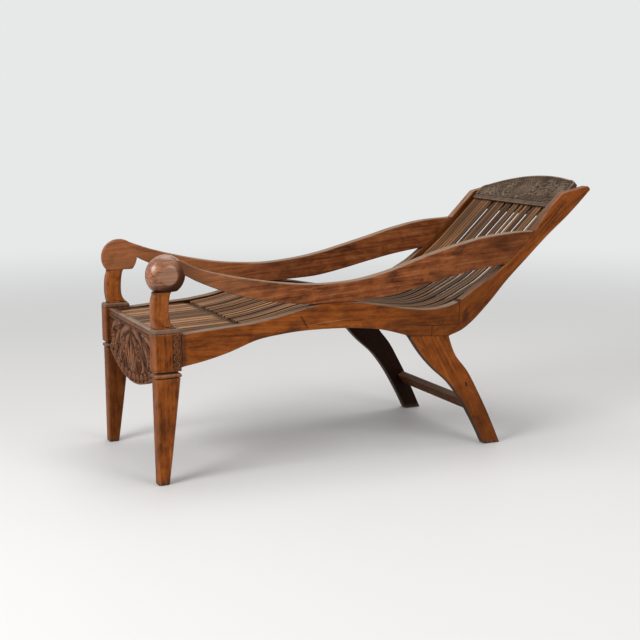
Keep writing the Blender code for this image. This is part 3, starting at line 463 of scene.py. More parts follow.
def scroll_strip(down, across):
    """Relief of the scrollwork, 0 to 1: a waving stem with a ringed eye in each of its bends."""
    cell = STRIP_LENGTH / STRIP_BENDS
    number = int(down // cell)
    share = down / cell - number
    side = 1 if number % 2 == 0 else -1
    stem_at = STRIP_WIDTH * (0.5 + 0.28 * side * math.sin(math.pi * share))
    stem_high = 1 - ((across - stem_at) / 0.0023) ** 2
    away = math.hypot(across - STRIP_WIDTH * (0.5 - 0.15 * side), (share - 0.5) * cell)
    eye = 1 - (away / 0.0030) ** 2
    ring = 1 - ((away - 0.0066) / 0.0016) ** 2
    edge = 1 - (min(across, STRIP_WIDTH - across) / 0.0016) ** 2
    return math.sqrt(max(stem_high, eye * 0.8, ring * 0.7, edge, 0.0))


def leg_levels():
    """Height, inset, arris, wear and dirt of each level, from the cap's top to the shaft's. On the bead the
    wear stands for a painted highlight.
    """
    levels = []
    for share, inset in CAP_CURVE:
        levels.append((SEAT_HEIGHT + CAP_HEIGHT * share, CAP_INSET * inset, CAP_ARRIS, 0.5, 0.0))
    levels += [(SEAT_HEIGHT + rise, *rest) for rise, *rest in UNDER_CAP]
    line_rise, line_depth = SCRATCHED_LINE
    for step in range(1, BLOCK_STEPS):
        z = BLOCK_FIRST - BLOCK_SPAN * step / BLOCK_STEPS
        line = line_depth * math.exp(-((z - BLOCK_FOOT - line_rise) / line_depth) ** 2)
        levels.append((z, line, BLOCK_ARRIS, 0, line / 0.002))
    levels += [(BLOCK_FOOT + rise, *rest) for rise, *rest in COVE]
    for step in range(BEAD_STEPS + 1):
        angle = math.pi * step / BEAD_STEPS
        z = BEAD_TOP - BEAD_RADIUS * (1 - math.cos(angle))
        # The bead's upper face is painted pale through the wear column, as a painted highlight.
        bead_highlight = 0.9 * max(0.0, math.sin(angle * 1.3 + 0.35))
        levels.append((z, BEAD_INSET - BEAD_SWELL * math.sin(angle) ** 0.8, BEAD_ARRIS, bead_highlight, 0))
    return levels + [(GROOVE_TOP + rise, *rest) for rise, *rest in GROOVE]


def front_leg(side, sign):
    """One front leg, as square rings from the cap down to the foot."""
    levels = leg_levels()
    points, worn, joint = [], [], []

    def add(ring, z, wear=0.0, dirt=0.0):
        for x, y, corner in ring:
            push = relief = 0.0
            across, down = y - STRIP_REAR + STRIP_WIDTH, STRIP_TOP - z
            if x > OUTER_FACE and 0 < across < STRIP_WIDTH and 0 < down < STRIP_LENGTH:
                border = min(down, STRIP_LENGTH - down, STRIP_BORDER) / STRIP_BORDER
                relief = scroll_strip(down, across)
                push = STRIP_CUT * (1 - relief) * border
            uneven = UNEVEN * noise.noise(Vector((x * 40 * sign, y * 30, z * 14)))
            points.append((sign * (x - push - max(uneven, 0)), y, z))
            worn.append(max(corner * 0.9, wear, relief ** 2 * 1.6))
            joint.append(max(min(push / STRIP_CUT, 0.75), dirt))

    for z, inset, arris, wear, dirt in levels:
        ring = square_ring(BLOCK_INNER + inset, WIDTH / 2 - inset, inset, BLOCK_DEPTH - inset, arris)
        add(ring, z, wear, dirt)
    ring_size = len(points) // len(levels)
    foot_outer = WIDTH / 2 - SHAFT_INSET / 2
    for step in range(1, SHAFT_STEPS + 1):
        share = step / SHAFT_STEPS
        swell = SHAFT_SWELL * math.sin(math.pi * share)
        x_low = (BLOCK_INNER + SHAFT_INSET) * (1 - share) + (foot_outer - FOOT_WIDTH) * share
        x_high = (WIDTH / 2 - SHAFT_INSET) * (1 - share) + foot_outer * share
        y_low = SHAFT_INSET * (1 - share) + FOOT_BACK * share
        y_high = (BLOCK_DEPTH - SHAFT_INSET) * (1 - share) + (FOOT_BACK + FOOT_DEPTH) * share
        add(square_ring(x_low - swell, x_high, y_low, y_high + swell, SHAFT_ARRIS), SHAFT_TOP * (1 - share))
    points[-ring_size:] = [(x, y, FOOT_CHAMFER) for x, y, z in points[-ring_size:]]
    sole = square_ring(
        foot_outer - FOOT_WIDTH + FOOT_CHAMFER, foot_outer - FOOT_CHAMFER,
        FOOT_BACK + FOOT_CHAMFER, FOOT_BACK + FOOT_DEPTH - FOOT_CHAMFER, FOOT_ARRIS)
    add(sole, 0.0)
    # The leg's inner side is painted darker, as painted shade.
    teak_here = teak(
        f"front_leg_teak_{side}", centre=(1 - sign, 1 - sign, 0), along="z", dust=0.55, wear=0.9,
        stains=0.65, figured=(0.30, 0.34, 0.62), tints=(GREY_CAP,), faces=painted_shade_side(sign, 0.45))
    leg = ring_piece(f"leg_{side}", points, ring_size, teak_here, {"worn": worn, "joint": joint})
    return fit(leg, "frame_wood", f"front_leg_{side}")


for side, sign in SIDES.items():
    front_leg(side, sign)

# Front apron
# A thick board tenoned between the leg blocks and cut to a shield. Under a moulding of fine lines
# and beads it is carved in relief with scrolling leaves, and a row of small curls ends it below.
APRON_BACK = 0.013
APRON_THICKNESS = 0.024
APRON_DROP = 0.002
APRON_END_DEPTH = 0.139
APRON_MID_DEPTH = 0.205
APRON_BAND = 0.017
APRON_RELIEF = 0.0052
APRON_ARRIS = 0.0022
APRON_GRID = 0.00135
APRON_GROOVES = ((0.0050, 0.35, 0.0010), (0.0105, 0.35, 0.0010), (APRON_BAND + 0.0012, 1.0, 0.0016))
FIT = 0.0003
PATH_STEPS, LEAF_STEPS, LEAF_LOBES = 7, 8, 3.0
# How far the cut along a leaf or knob reaches, in its half widths, and how high its bottom lies.
CUT_REACH, CUT_HEIGHT = 1.28, 0.12
BOSS_REACH, BOSS_HEIGHT = 1.3, 0.08
# In radii of a scroll: where its leaves root, half its stem's width, how far that thins, its eye.
SCROLL_ROOT, SCROLL_STEM, SCROLL_THINS, SCROLL_EYE = 0.86, 0.175, 0.07, 0.21
# Places of the grid's outer rows across a carved board's arris, and the square edge behind it.
EDGE_ROWS, EDGE_SQUARE = (0, 0.15, 0.45, 0.9), 0.0012
RUBBED_HIGH, DUST_LOW = (0.34, 0.25, 0.18), (0.31, 0.245, 0.19)


def smooth_path(points, steps=PATH_STEPS):
    """A smooth line through the points, with the given number of steps between two of them."""
    knots = [Vector((first, second)) for first, second in points]
    path = []
    for index in range(len(knots) - 1):
        start, end = knots[index], knots[index + 1]
        before = knots[max(index - 1, 0)]
        after = knots[min(index + 2, len(knots) - 1)]
        reach = (end - start).length / 3
        leave = (end - before).normalized() * reach
        arrive = (after - start).normalized() * reach
        stretch = interpolate_bezier(start, start + leave, end - arrive, end, steps + 1)
        path += [Vector(point[:2]) for point in stretch[:-1]]
    return path + [knots[-1]]


def chisel(field, x, z, spine, half_width, shape):
    """Raises one stem or leaf in the relief, with a groove along its outline."""
    spine = np.array([tuple(point) for point in spine])
    tangent = np.gradient(spine, axis=0)
    tangent /= np.linalg.norm(tangent, axis=1)[:, None]
    steps = np.linalg.norm(np.diff(spine, axis=0), axis=1)
    run = np.concatenate(([0], np.cumsum(steps)))
    length = run[-1]
    run /= length
    widest = half_width(np.linspace(0, 1, 24)).max() * 1.4
    low, high = spine.min(axis=0) - widest, spine.max(axis=0) + widest
    near = (x > low[0]) & (x < high[0]) & (z > low[1]) & (z < high[1])
    if not near.any():
        return
    away = (x[near][:, None] - spine[None, :, 0]) ** 2 + (z[near][:, None] - spine[None, :, 1]) ** 2
    index = away.argmin(axis=1)
    off_x, off_z = x[near] - spine[index, 0], z[near] - spine[index, 1]
    ahead = off_x * tangent[index, 0] + off_z * tangent[index, 1]
    across = off_z * tangent[index, 0] - off_x * tangent[index, 1]
    along = np.clip(run[index] + ahead / length, 0, 1)
    past = np.maximum(np.abs(run[index] + ahead / length - 0.5) - 0.5, 0) * length
    share = np.hypot(across, past) / np.maximum(half_width(along), 1e-5)
    inside = share < 1
    height = shape(along, np.sign(across) * np.minimum(share, 1))
    part = field[near]
    rim = (share >= 1) & (share < CUT_REACH)
    part[rim] = np.minimum(part[rim], CUT_HEIGHT)
    part[inside] = np.maximum(height[inside], 0.1)
    field[near] = part


def stem(along, share):
    """A round stem with a fine groove down its middle."""
    return np.sqrt(np.maximum(1 - share ** 2, 0)) * 0.98 - 0.22 * np.exp(-(share / 0.2) ** 2)


def leaf(along, share):
    """A hollowed leaf with a midrib and slanting veins."""
    bowl = 0.42 + 0.52 * np.abs(share) ** 1.3
    edge = np.clip((1 - np.abs(share)) * 5, 0, 1)
    veins = 0.5 + 0.5 * np.cos(2 * np.pi * (5.0 * along - 0.8 * np.abs(share)))
    midrib = 0.50 * np.exp(-(share / 0.13) ** 2)
    return (bowl - 0.24 * veins * (np.abs(share) > 0.12) + midrib) * (0.35 + 0.65 * edge)


def lobed(widest, lobes=LEAF_LOBES):
    """Half width of a leaf with lobes along its edge."""
    def half_width(along):
        outline = np.sin(np.pi * np.clip(along, 0.02, 0.985) ** 0.72) ** 0.75
        return widest * outline * (1 - 0.24 * np.abs(np.sin(np.pi * lobes * along)))
    return half_width


def tendril(centre, radius, start, turns, steps=44):
    """A spiral line that winds in to its centre."""
    spine = []
    for step in range(steps):
        share = step / (steps - 1)
        turn = start + 2 * math.pi * turns * share
        reach = radius * (1 - share) ** 0.85 + radius * 0.13
        spine.append((centre[0] + reach * math.cos(turn), centre[1] + reach * math.sin(turn)))
    return spine


def boss(field, x, z, centre, radius, height=1.0):
    """A round knob, ringed by a groove."""
    share = np.hypot(x - centre[0], z - centre[1]) / radius
    rim = (share >= 1) & (share < BOSS_REACH)
    field[rim] = np.minimum(field[rim], BOSS_HEIGHT)
    inside = share < 1
    field[inside] = height * np.sqrt(1 - share[inside] ** 2) * 0.75 + 0.25 * height


def sprig(field, x, z, root, tip, bend, half_width, shape, at=0.5, steps=LEAF_STEPS):
    """One leaf from root to tip, bent sideways at a share of its way."""
    belly = root.lerp(tip, at) + bend
    chisel(field, x, z, smooth_path([root, belly, tip], steps), half_width, shape)


def scroll(field, x, z, side, centre, radius, start, turns, leaves, reach):
    """A spiral stem with an eye, and leaves that spring from its outer edge. start is in degrees."""
    centre = (centre[0] * side, centre[1])
    start = math.radians(start)
    if side < 0:
        start, turns = math.pi - start, -turns
    way = math.copysign(1, turns)
    for number in range(leaves):
        angle = start + way * (0.12 + number / leaves) * 2 * math.pi * 0.92
        root = Vector(centre) + Vector((math.cos(angle), math.sin(angle))) * radius * SCROLL_ROOT
        lean = angle - way * 0.75
        long = reach * (1.0 if number % 2 == 0 else 0.78)
        tip = root + Vector((math.cos(lean), math.sin(lean))) * long
        bend = Vector((math.cos(angle), math.sin(angle))) * long * 0.16
        sprig(field, x, z, root, tip, bend, lobed(long * 0.26), leaf)
    spine = tendril(centre, radius, start, turns)
    chisel(field, x, z, spine, lambda along: radius * (SCROLL_STEM - SCROLL_THINS * along), stem)
    boss(field, x, z, centre, radius * SCROLL_EYE)


def carved_slab(name, half, low, high, pitch, relief, depth, thickness, arris, place, material):
    """A board whose face is a fine grid cut down by its relief; place sets x, z and out in space."""
    close = np.array(EDGE_ROWS) * arris
    inner = np.linspace(-half + arris * 1.3, half - arris * 1.3, int(2 * half / pitch))
    columns = np.concatenate((-half + close, inner, half - close[::-1]))
    top = high(columns)
    foot = low(columns)
    rows = int((top - foot).max() / pitch)
    tall = (top - foot)[None, :]
    middle = np.linspace(0, 1, rows)[:, None] * (tall - 2.6 * arris) + 1.3 * arris
    z = np.concatenate((close[:, None] + 0 * tall, middle, tall - close[::-1][:, None])) + foot[None, :]
    x = np.broadcast_to(columns, z.shape).copy()
    margin = np.minimum(np.minimum(half - np.abs(x), z - foot[None, :]), top[None, :] - z)
    drop = np.clip(arris - margin, 0, arris)
    rounding = arris - np.sqrt(arris ** 2 - drop ** 2)
    height = relief(x, z, margin)
    sink = np.maximum(depth * (1 - height), rounding)
    count_z, count_x = z.shape
    points = [place(a, b, -c) for a, b, c in zip(x.ravel(), z.ravel(), sink.ravel())]
    faces = []
    for row in range(count_z - 1):
        for column in range(count_x - 1):
            start = row * count_x + column
            faces.append((start, start + 1, start + 1 + count_x, start + count_x))
    loop = list(range(count_x))
    loop += [row * count_x + count_x - 1 for row in range(1, count_z)]
    loop += [(count_z - 1) * count_x + column for column in range(count_x - 2, -1, -1)]
    loop += [row * count_x for row in range(count_z - 2, 0, -1)]
    flat_x, flat_z = x.ravel(), z.ravel()
    edge = loop
    for back in (arris + EDGE_SQUARE, thickness):
        base = len(points)
        points += [place(flat_x[index], flat_z[index], -back) for index in loop]
        for number in range(len(loop)):
            following = (number + 1) % len(loop)
            faces.append((edge[number], edge[following], base + following, base + number))
        edge = range(base, base + len(loop))
    faces.append(tuple(edge))
    carved = np.concatenate((height.ravel(), np.full(2 * len(loop), 0.5)))
    worn = np.concatenate(((drop / arris).ravel(), np.zeros(2 * len(loop))))
    return mesh_piece(name, points, faces, material, {"relief": carved, "worn": worn}, (len(faces) - 1,))


def carved_teak(name, low, middle, high, gloss=0.5, dust=0.5):
    """Old carved teak: black in the cuts, rubbed on the high places."""
    wood = Finish(bpy.data.materials.new(name))
    place = wood.node("TexCoord", None, None, "Object")
    bands = wood.grain_noise(place, (5, 60, 60), 3.0, 0.6, 0.4)
    specks = wood.grain_noise(place, (260, 260, 260), 2.0, 0.6)
    blotches = wood.grain_noise(place, (16, 16, 16), 3.0, 0.6)
    relief = wood.node("Attribute", {"attribute_name": "relief"}, None, 2)
    edge = wood.node("Attribute", {"attribute_name": "worn"}, None, 2)
    level = wood.node("SeparateXYZ", None, {0: wood.node("NewGeometry", None, None, 1)}, 2)
    share = relief + (bands - 0.5) * 0.35 + (specks - 0.5) * 0.18
    colour = wood.node("ValToRGB", {"stops": ((0.03, low), (0.36, middle), (0.95, high))}, {0: share})
    colour = wood.shade(colour, 0.72 + wood.step(blotches, 0.32, 0.68) * 0.5)
    rubbed = edge * (0.3 + wood.step(level, 0.2, 0.9) * 0.7) * (0.4 + blotches)
    colour = wood.blend(rubbed.low(0.75), colour, RUBBED_HIGH)
    dusty = wood.step(level, 0.55, 0.98) * wood.step(specks + blotches, 0.7, 1.15) * dust
    colour = wood.blend(dusty, colour, DUST_LOW)
    rough = gloss + (1 - relief) * 0.25 + dusty * 0.2
    return wood.finish(
        {"Base Color": colour, "Roughness": rough, "Coat Weight": 0.05, **COAT},
        ((blotches, 0.002), (bands, 0.0008), (specks, 0.0005)))


def apron_foot(x):
    """Height of the apron's lower edge, from its upper one."""
    half = BLOCK_INNER - FIT
    return -(APRON_MID_DEPTH + (APRON_END_DEPTH - APRON_MID_DEPTH) * (x / half) ** 2)


def straight_edge(x):
    """A level edge at height 0."""
    return 0 * x


def undergrowth(field, x, z, pitch, aim, seed):
    """Fills the ground with rows of small leaves; aim gives their direction at a place."""
    luck = np.random.default_rng(seed)
    rows = np.arange(z.min() - pitch, z.max() + pitch, pitch * 0.8)
    for number, row in enumerate(rows):
        for at in np.arange(x.min() - pitch, x.max() + pitch, pitch) + (number % 2) * pitch / 2:
            root = Vector((at, row)) + Vector(luck.uniform(-0.15, 0.15, 2) * pitch)
            turn = aim(root) + luck.uniform(-0.25, 0.25)
            tip = root + Vector((math.cos(turn), math.sin(turn))) * pitch * 1.5
            bend = Vector((-math.sin(turn), math.cos(turn))) * pitch * luck.uniform(-0.3, 0.3)
            sprig(field, x, z, root, tip, bend, lobed(pitch * 0.36, 2.0), low_leaf, steps=5)


def low_leaf(along, share):
    """A leaf of the ground, lower than the others."""
    return leaf(along, share) * 0.62


def frond(along, share):
    """A long smooth leaf, rounded over, with a fine groove beside its rib."""
    over = np.maximum(1 - share ** 2, 0) ** 0.40
    grooves = np.exp(-((share + 0.15) / 0.10) ** 2) + np.exp(-((np.abs(share + 0.05) - 0.58) / 0.10) ** 2)
    return over * 0.94 - 0.30 * grooves * (1 - along) ** 0.5


# The apron's carving, out from its middle and below its upper edge: the line and half width of
# each long leaf; centre, radius, start, turns, leaves and reach of each scroll; the fan's leaves.
APRON_FRONDS = (
    (((0.020, -0.030), (0.066, -0.040), (0.110, -0.062), (0.126, -0.098)), 0.015),
    (((0.120, -0.030), (0.160, -0.034), (0.206, -0.046), (0.232, -0.082)), 0.013),
    (((0.016, -0.052), (0.042, -0.070), (0.058, -0.104), (0.046, -0.142)), 0.017),
    (((0.128, -0.056), (0.158, -0.074), (0.182, -0.104), (0.176, -0.134)), 0.015),
    (((0.104, -0.098), (0.122, -0.118), (0.130, -0.140), (0.112, -0.156)), 0.011),
)
APRON_SCROLLS = (
    ((0.084, -0.100), 0.024, 100, -1.45, 7, 0.024),
    ((0.208, -0.096), 0.018, -120, 1.35, 6, 0.022),
    ((0.152, -0.052), 0.013, 60, 1.3, 5, 0.016),
)
APRON_FAN = ((0.80, 0.052), (-0.80, 0.052), (0.40, 0.078), (-0.40, 0.078), (0.0, 0.104))
CURLS = 6
CURL_START, CURL_PITCH, CURL_RISE = 0.020, 0.0430, 0.0185
CURL_RADIUS, CURL_EYE, CURL_HOLE = 0.0138, 0.0042, 0.0046
GROUND_LEAF = 0.0210
FOOT_LIP = 0.0022
BEADING, BEADING_PITCH = APRON_BAND + 0.0048, 0.0070


def foot_curl(field, x, z, side, at):
    """One curl of the row along the foot, with the two holes beside it."""
    foot = Vector((side * at, float(apron_foot(at)) + CURL_RISE))
    spine = tendril(foot, CURL_RADIUS, math.radians(-90), side * 1.15, 30)
    chisel(field, x, z, spine, lambda along: 0.0043 - 0.0014 * along, stem)
    boss(field, x, z, foot, CURL_EYE, 0.9)
    for rise in (-0.004, 0.013):
        away = np.hypot(x - foot.x - side * CURL_PITCH / 2, z - foot.y - rise)
        field[away < CURL_HOLE] = 0.0


def apron_relief(x, z, margin):
    """The shield's carving, from the ground up to the moulding, 0 to 1."""
    field = np.zeros(x.shape)
    undergrowth(field, x, z, GROUND_LEAF, lambda spot: -math.pi / 2 + spot.x * 7, 5)
    for side in (1, -1):
        for sweep, wide in APRON_FRONDS:
            spine = smooth_path([(side * at, rise) for at, rise in sweep], 10)
            chisel(field, x, z, spine, lobed(wide), frond)
        for whorl in APRON_SCROLLS:
            scroll(field, x, z, side, *whorl)
        for number in range(CURLS):
            foot_curl(field, x, z, side, CURL_START + number * CURL_PITCH)
    for lean, long in APRON_FAN:
        root = Vector((lean * 0.01, -0.160))
        tip = root + Vector((math.sin(lean), math.cos(lean))) * long
        sprig(field, x, z, root, tip, Vector((lean * 0.012, 0)), lobed(0.016), frond, 0.55, 9)
    boss(field, x, z, (0, -0.158), 0.0120)
    rubbed = 0.5 + 0.5 * np.sin(x * 31 + 1.2) * np.cos(z * 44 + 0.6)
    field += (0.55 - field) * 0.45 * np.clip(rubbed * 2 - 0.9, 0, 1) * (field > 0.06)
    lip = np.clip(1 - np.abs(z - apron_foot(x) - FOOT_LIP) / FOOT_LIP, 0, 1)
    field = np.maximum(field, np.sqrt(lip) * 0.9)
    ridge = np.exp(-((z + BEADING) / 0.0013) ** 2)
    field = np.maximum(field, ridge * (0.80 + 0.20 * np.cos(x * 2 * np.pi / BEADING_PITCH)))
    field[z > -APRON_BAND] = 0.72
    for line, deep, breadth in APRON_GROOVES:
        field -= deep * np.exp(-((z + line) / breadth) ** 2)
    return np.clip(field, 0, 1)


def on_apron(x, z, out):
    """Where a point of the apron's face lies on the chair."""
    return (x, APRON_BACK - out, SEAT_HEIGHT - APRON_DROP + z)


APRON_TEAK = carved_teak(
    "apron_teak", (0.013, 0.005, 0.002), (0.092, 0.031, 0.012), (0.200, 0.082, 0.038), gloss=0.36, dust=0.75)
apron = carved_slab(
    "apron", BLOCK_INNER - FIT, apron_foot, straight_edge, APRON_GRID, apron_relief, APRON_RELIEF,
    APRON_THICKNESS, APRON_ARRIS, on_apron, APRON_TEAK)
fit(apron, "carved_wood", "front_apron")

# Seat rails
# The long board of each side frame, sawn to a wave: level at the front, humped under the knees and
# falling to the scarf where the back stile starts. Its upper edge is rubbed pale.
BOARD = 0.034
BOARD_OUTER = WIDTH / 2 - 0.003
BOARD_INNER = BOARD_OUTER - BOARD
BOARD_X = BOARD_OUTER - BOARD / 2
BOARD_ARRIS = 0.0034
BOARD_CORNER = 0.0055
SEAM_ARRIS = 0.0009
ARRIS_STEPS = 5
CORNER_STEPS = 5
SHARP_TURN = 0.42
LONGEST_EDGE = 0.009
SAW_DRIFT, SAW_SCALE = 0.0006, 14
WEAR_RANGE, WEAR_SCALE = 0.45, 9
RAIL_PROUD = 0.008
RAIL_END = 1.071
LAP_START = 0.965
LAP_Z = SEAT_HEIGHT - 0.044
SHOULDER_FRONT = (0.880, -0.072)
SHOULDER_BACK = (1.035, -0.082)
STILE_PROUD = 0.018
CREST_PROUD_SIDE = {"left": 0.036, "right": 0.020}
STILE_TOP_RISE = {"left": 0.378, "right": 0.352}
STILE_TOP_Y = 1.450
STILE_TOP_SLOPE = math.tan(math.radians(12.0))
ARM_MEETS_RAIL = 0.058
MAIN_SLAT_START = 0.310
FRONT_SLAT_END = 0.285
FRONT_SLAT_START = APRON_BACK + APRON_THICKNESS - 0.008
FRONT_SLAT_DROP = 0.010
CREST_Y = 1.471
SLAT_LINE = (
    (MAIN_SLAT_START, 0.002), (0.380, 0.012), (0.445, 0.026), (0.520, 0.043), (0.600, 0.053),
    (0.700, 0.045), (0.800, 0.027), (0.885, 0.013), (0.966, 0.006), (1.030, 0.013),
    (1.085, 0.031), (1.140, 0.057), (1.205, 0.092), (1.300, 0.166), (1.388, 0.248),
    (CREST_Y, 0.328), (1.575, 0.436),
)
INK, CHALK = (0.018, 0.008, 0.004), (0.30, 0.20, 0.13)
RAIL_MARKS = (
    (0.499 - MIDDLE_Y, SEAT_HEIGHT + 0.002, math.radians(-58), 0.032, 0.0045, 0.6, INK),
    (0.585 - MIDDLE_Y, SEAT_HEIGHT - 0.002, math.radians(4), 0.085, 0.0012, 0.5, CHALK),
    (0.935 - MIDDLE_Y, SEAT_HEIGHT - 0.040, math.radians(-4), 0.050, 0.0020, 0.7, INK),
)
OLD_TENON = (1, BLOCK_DEPTH + 0.018 - MIDDLE_Y, BLOCK_DEPTH + 0.009 - MIDDLE_Y, 0.7, (0.030, 0.014, 0.008))
DARK_TEAK = (0.055, 0.014, 0.0018)
RAIL_SHADE = (1, 0.70 - MIDDLE_Y, 0.98 - MIDDLE_Y, 0.50, DARK_TEAK)
RAIL_BOTTOM = (
    (BLOCK_DEPTH, -0.107), (0.166, -0.094), (0.242, -0.075), (0.336, -0.043), (0.423, -0.030),
    (0.512, -0.025), (0.600, -0.026), (0.690, -0.031), (0.780, -0.043), SHOULDER_FRONT,
)


def raised(points):
    """Points given above the leg block's top, as heights above the floor."""
    return [(y, SEAT_HEIGHT + rise) for y, rise in points]


def offset_path(path, distance):
    """The path moved sideways, to its left seen along it. distance is a number or follows y."""
    moved = []
    for index, point in enumerate(path):
        along = (path[min(index + 1, len(path) - 1)] - path[max(index - 1, 0)]).normalized()
        shift = distance(point.x) if callable(distance) else distance
        moved.append(point + Vector((-along.y, along.x)) * shift)
    return moved


def height_at(path, y):
    """Height of a path at y, or of its end nearest to that."""
    for start, end in zip(path, path[1:]):
        if start.x <= y <= end.x:
            return start.y + (end.y - start.y) * (y - start.x) / max(end.x - start.x, 1e-9)
    return path[0].y if y < path[0].x else path[-1].y


def depth_at(path, z):
    """y of a path where it first comes to the height z."""
    for start, end in zip(path, path[1:]):
        if min(start.y, end.y) <= z <= max(start.y, end.y):
            return start.x + (end.x - start.x) * (z - start.y) / ((end.y - start.y) or 1e-9)
    return path[-1].x


def between(path, low, high):
    """The part of a path from y low to y high, with its two ends exactly there."""
    inner = [point for point in path if low + 1e-4 < point.x < high - 1e-4]
    return [Vector((low, height_at(path, low))), *inner, Vector((high, height_at(path, high)))]


def cut_level(path, level, side):
    """The path with whatever lies above (1) or below (-1) a level cut off along it."""
    kept = [path[0]]
    for start, end in zip(path, path[1:]):
        beyond_start = (start.y - level) * side > 0
        beyond_end = (end.y - level) * side > 0
        if beyond_start != beyond_end:
            kept.append(start.lerp(end, (level - start.y) / (end.y - start.y)))
        if not beyond_end:
            kept.append(end)
    return kept


def slat_path():
    """Upper face of the main run of slats, from the gap to beyond the crest."""
    return smooth_path(raised(SLAT_LINE))


def front_slat_path():
    """Upper face of the front run, from the apron's groove to the gap."""
    start = Vector((FRONT_SLAT_START, SEAT_HEIGHT - FRONT_SLAT_DROP))
    return [start, Vector((FRONT_SLAT_END, SEAT_HEIGHT))]


def frame_top(side):
    """Upper and forward edge of a side frame, from the front leg to the stile's top."""
    arm_start, arm_end, flare_end = 1.150, 1.370, 1.450

    def proud(y):
        if y < RAIL_END:
            return RAIL_PROUD
        if y < arm_start:
            return RAIL_PROUD + (STILE_PROUD - RAIL_PROUD) * (y - RAIL_END) / (arm_start - RAIL_END)
        if y < arm_end:
            return STILE_PROUD
        share = min((y - arm_end) / (flare_end - arm_end), 1)
        return STILE_PROUD + (CREST_PROUD_SIDE[side] - STILE_PROUD) * share

    swept = offset_path(slat_path(), proud)
    front = front_slat_path()
    first = Vector((BLOCK_DEPTH + FIT, SEAT_HEIGHT - FRONT_SLAT_DROP / 2))
    share = 0.6
    level = Vector((FRONT_SLAT_END * share, front[0].lerp(front[1], share).y + RAIL_PROUD * 0.7))
    return smooth_path([first, level, swept[0]], 9)[:-1] + swept


def stile_cut(y, side):
    """Height of the stile's top end at y."""
    return SEAT_HEIGHT + STILE_TOP_RISE[side] + STILE_TOP_SLOPE * (y - STILE_TOP_Y)


def shoulder(y):
    """Height of the straight underside that the rear leg meets."""
    slope = (SHOULDER_BACK[1] - SHOULDER_FRONT[1]) / (SHOULDER_BACK[0] - SHOULDER_FRONT[0])
    return SEAT_HEIGHT + SHOULDER_FRONT[1] + slope * (y - SHOULDER_FRONT[0])


def in_seam(point, seams):
    """Whether a point lies on the line of a seam."""
    for seam in seams:
        for start, end in zip(seam, seam[1:]):
            span = end - start
            share = max(0.0, min(1.0, (point - start).dot(span) / max(span.length_squared, 1e-12)))
            if (start + span * share - point).length < 1e-4:
                return True
    return False


def worked_outline(outline, seams, corner):
    """The outline with rounded corners and no long edges, and whether each point is on a seam."""
    count = len(outline)
    turns = []
    for index, point in enumerate(outline):
        arrive, leave = point - outline[index - 1], outline[(index + 1) % count] - point
        turns.append(arrive.angle(leave, 0.0))
    sharp = [turn > SHARP_TURN for turn in turns]
    kept = []
    for index, point in enumerate(outline):
        near = [other for other in range(count) if (outline[other] - point).length < 1.6 * corner]
        if sharp[index] or not any(sharp[other] for other in near):
            kept.append((point, sharp[index]))
    soft = []
    for index, (point, is_sharp) in enumerate(kept):
        before, after = kept[index - 1][0], kept[(index + 1) % len(kept)][0]
        held = in_seam(point, seams)
        if not is_sharp or held:
            soft.append((point, held))
            continue
        arrive, leave = point - before, after - point
        reach = min(corner, 0.45 * arrive.length, 0.45 * leave.length)
        start, end = point - arrive.normalized() * reach, point + leave.normalized() * reach
        for step in range(CORNER_STEPS + 1):
            share = step / CORNER_STEPS
            first, second = start.lerp(point, share), point.lerp(end, share)
            soft.append((first.lerp(second, share), False))
    fine = []
    for index, (point, held) in enumerate(soft):
        after = soft[(index + 1) % len(soft)][0]
        pieces = max(1, int((after - point).length / LONGEST_EDGE))
        for step in range(pieces):
            here = point.lerp(after, step / pieces)
            fine.append((here, held if step == 0 else in_seam(here, seams)))
    area = sum(a[0].x * b[0].y - b[0].x * a[0].y for a, b in zip(fine, fine[1:] + fine[:1]))
    return fine if area > 0 else fine[::-1]


def board(name, outline, thickness, middle, material, arris=BOARD_ARRIS, seams=(), corner=BOARD_CORNER):
    """A board sawn to an outline in the side view, with arrises worn more here and less there."""
    worked = worked_outline(outline, seams, corner)
    inward, radii, edge = [], [], []
    for index, (point, held) in enumerate(worked):
        along = (worked[(index + 1) % len(worked)][0] - worked[index - 1][0]).normalized()
        inward.append(Vector((-along.y, along.x)))
        wear = noise.noise(Vector((point.x * WEAR_SCALE, point.y * WEAR_SCALE, middle * 7)))
        radii.append(SEAM_ARRIS if held else arris * (1 + WEAR_RANGE * wear))
        drift = noise.noise(Vector((point.x * SAW_SCALE, point.y * SAW_SCALE, middle * 5)))
        drift = SAW_DRIFT * (drift - 0.3)
        edge.append(point if held else point - inward[-1] * min(drift, 0))
    points, worn, joint = [], [], []
    for half in (1, -1):
        for number in range(ARRIS_STEPS + 1)[::half]:
            turn = math.pi / 2 * number / ARRIS_STEPS
            for (point, held), radius, start, inside in zip(worked, radii, edge, inward):
                inset = radius * (1 - math.sin(turn))
                away = thickness / 2 - radius * (1 - math.cos(turn))
                spot = start + inside * inset
                points.append((middle + half * away, spot.x, spot.y))
                worn.append(0.0 if held else math.sin(turn) * min(1, radius / 0.003))
                joint.append(1.0 if held and number > 0 else 0.0)
    return ring_piece(name, points, len(worked), material, {"worn": worn, "joint": joint})


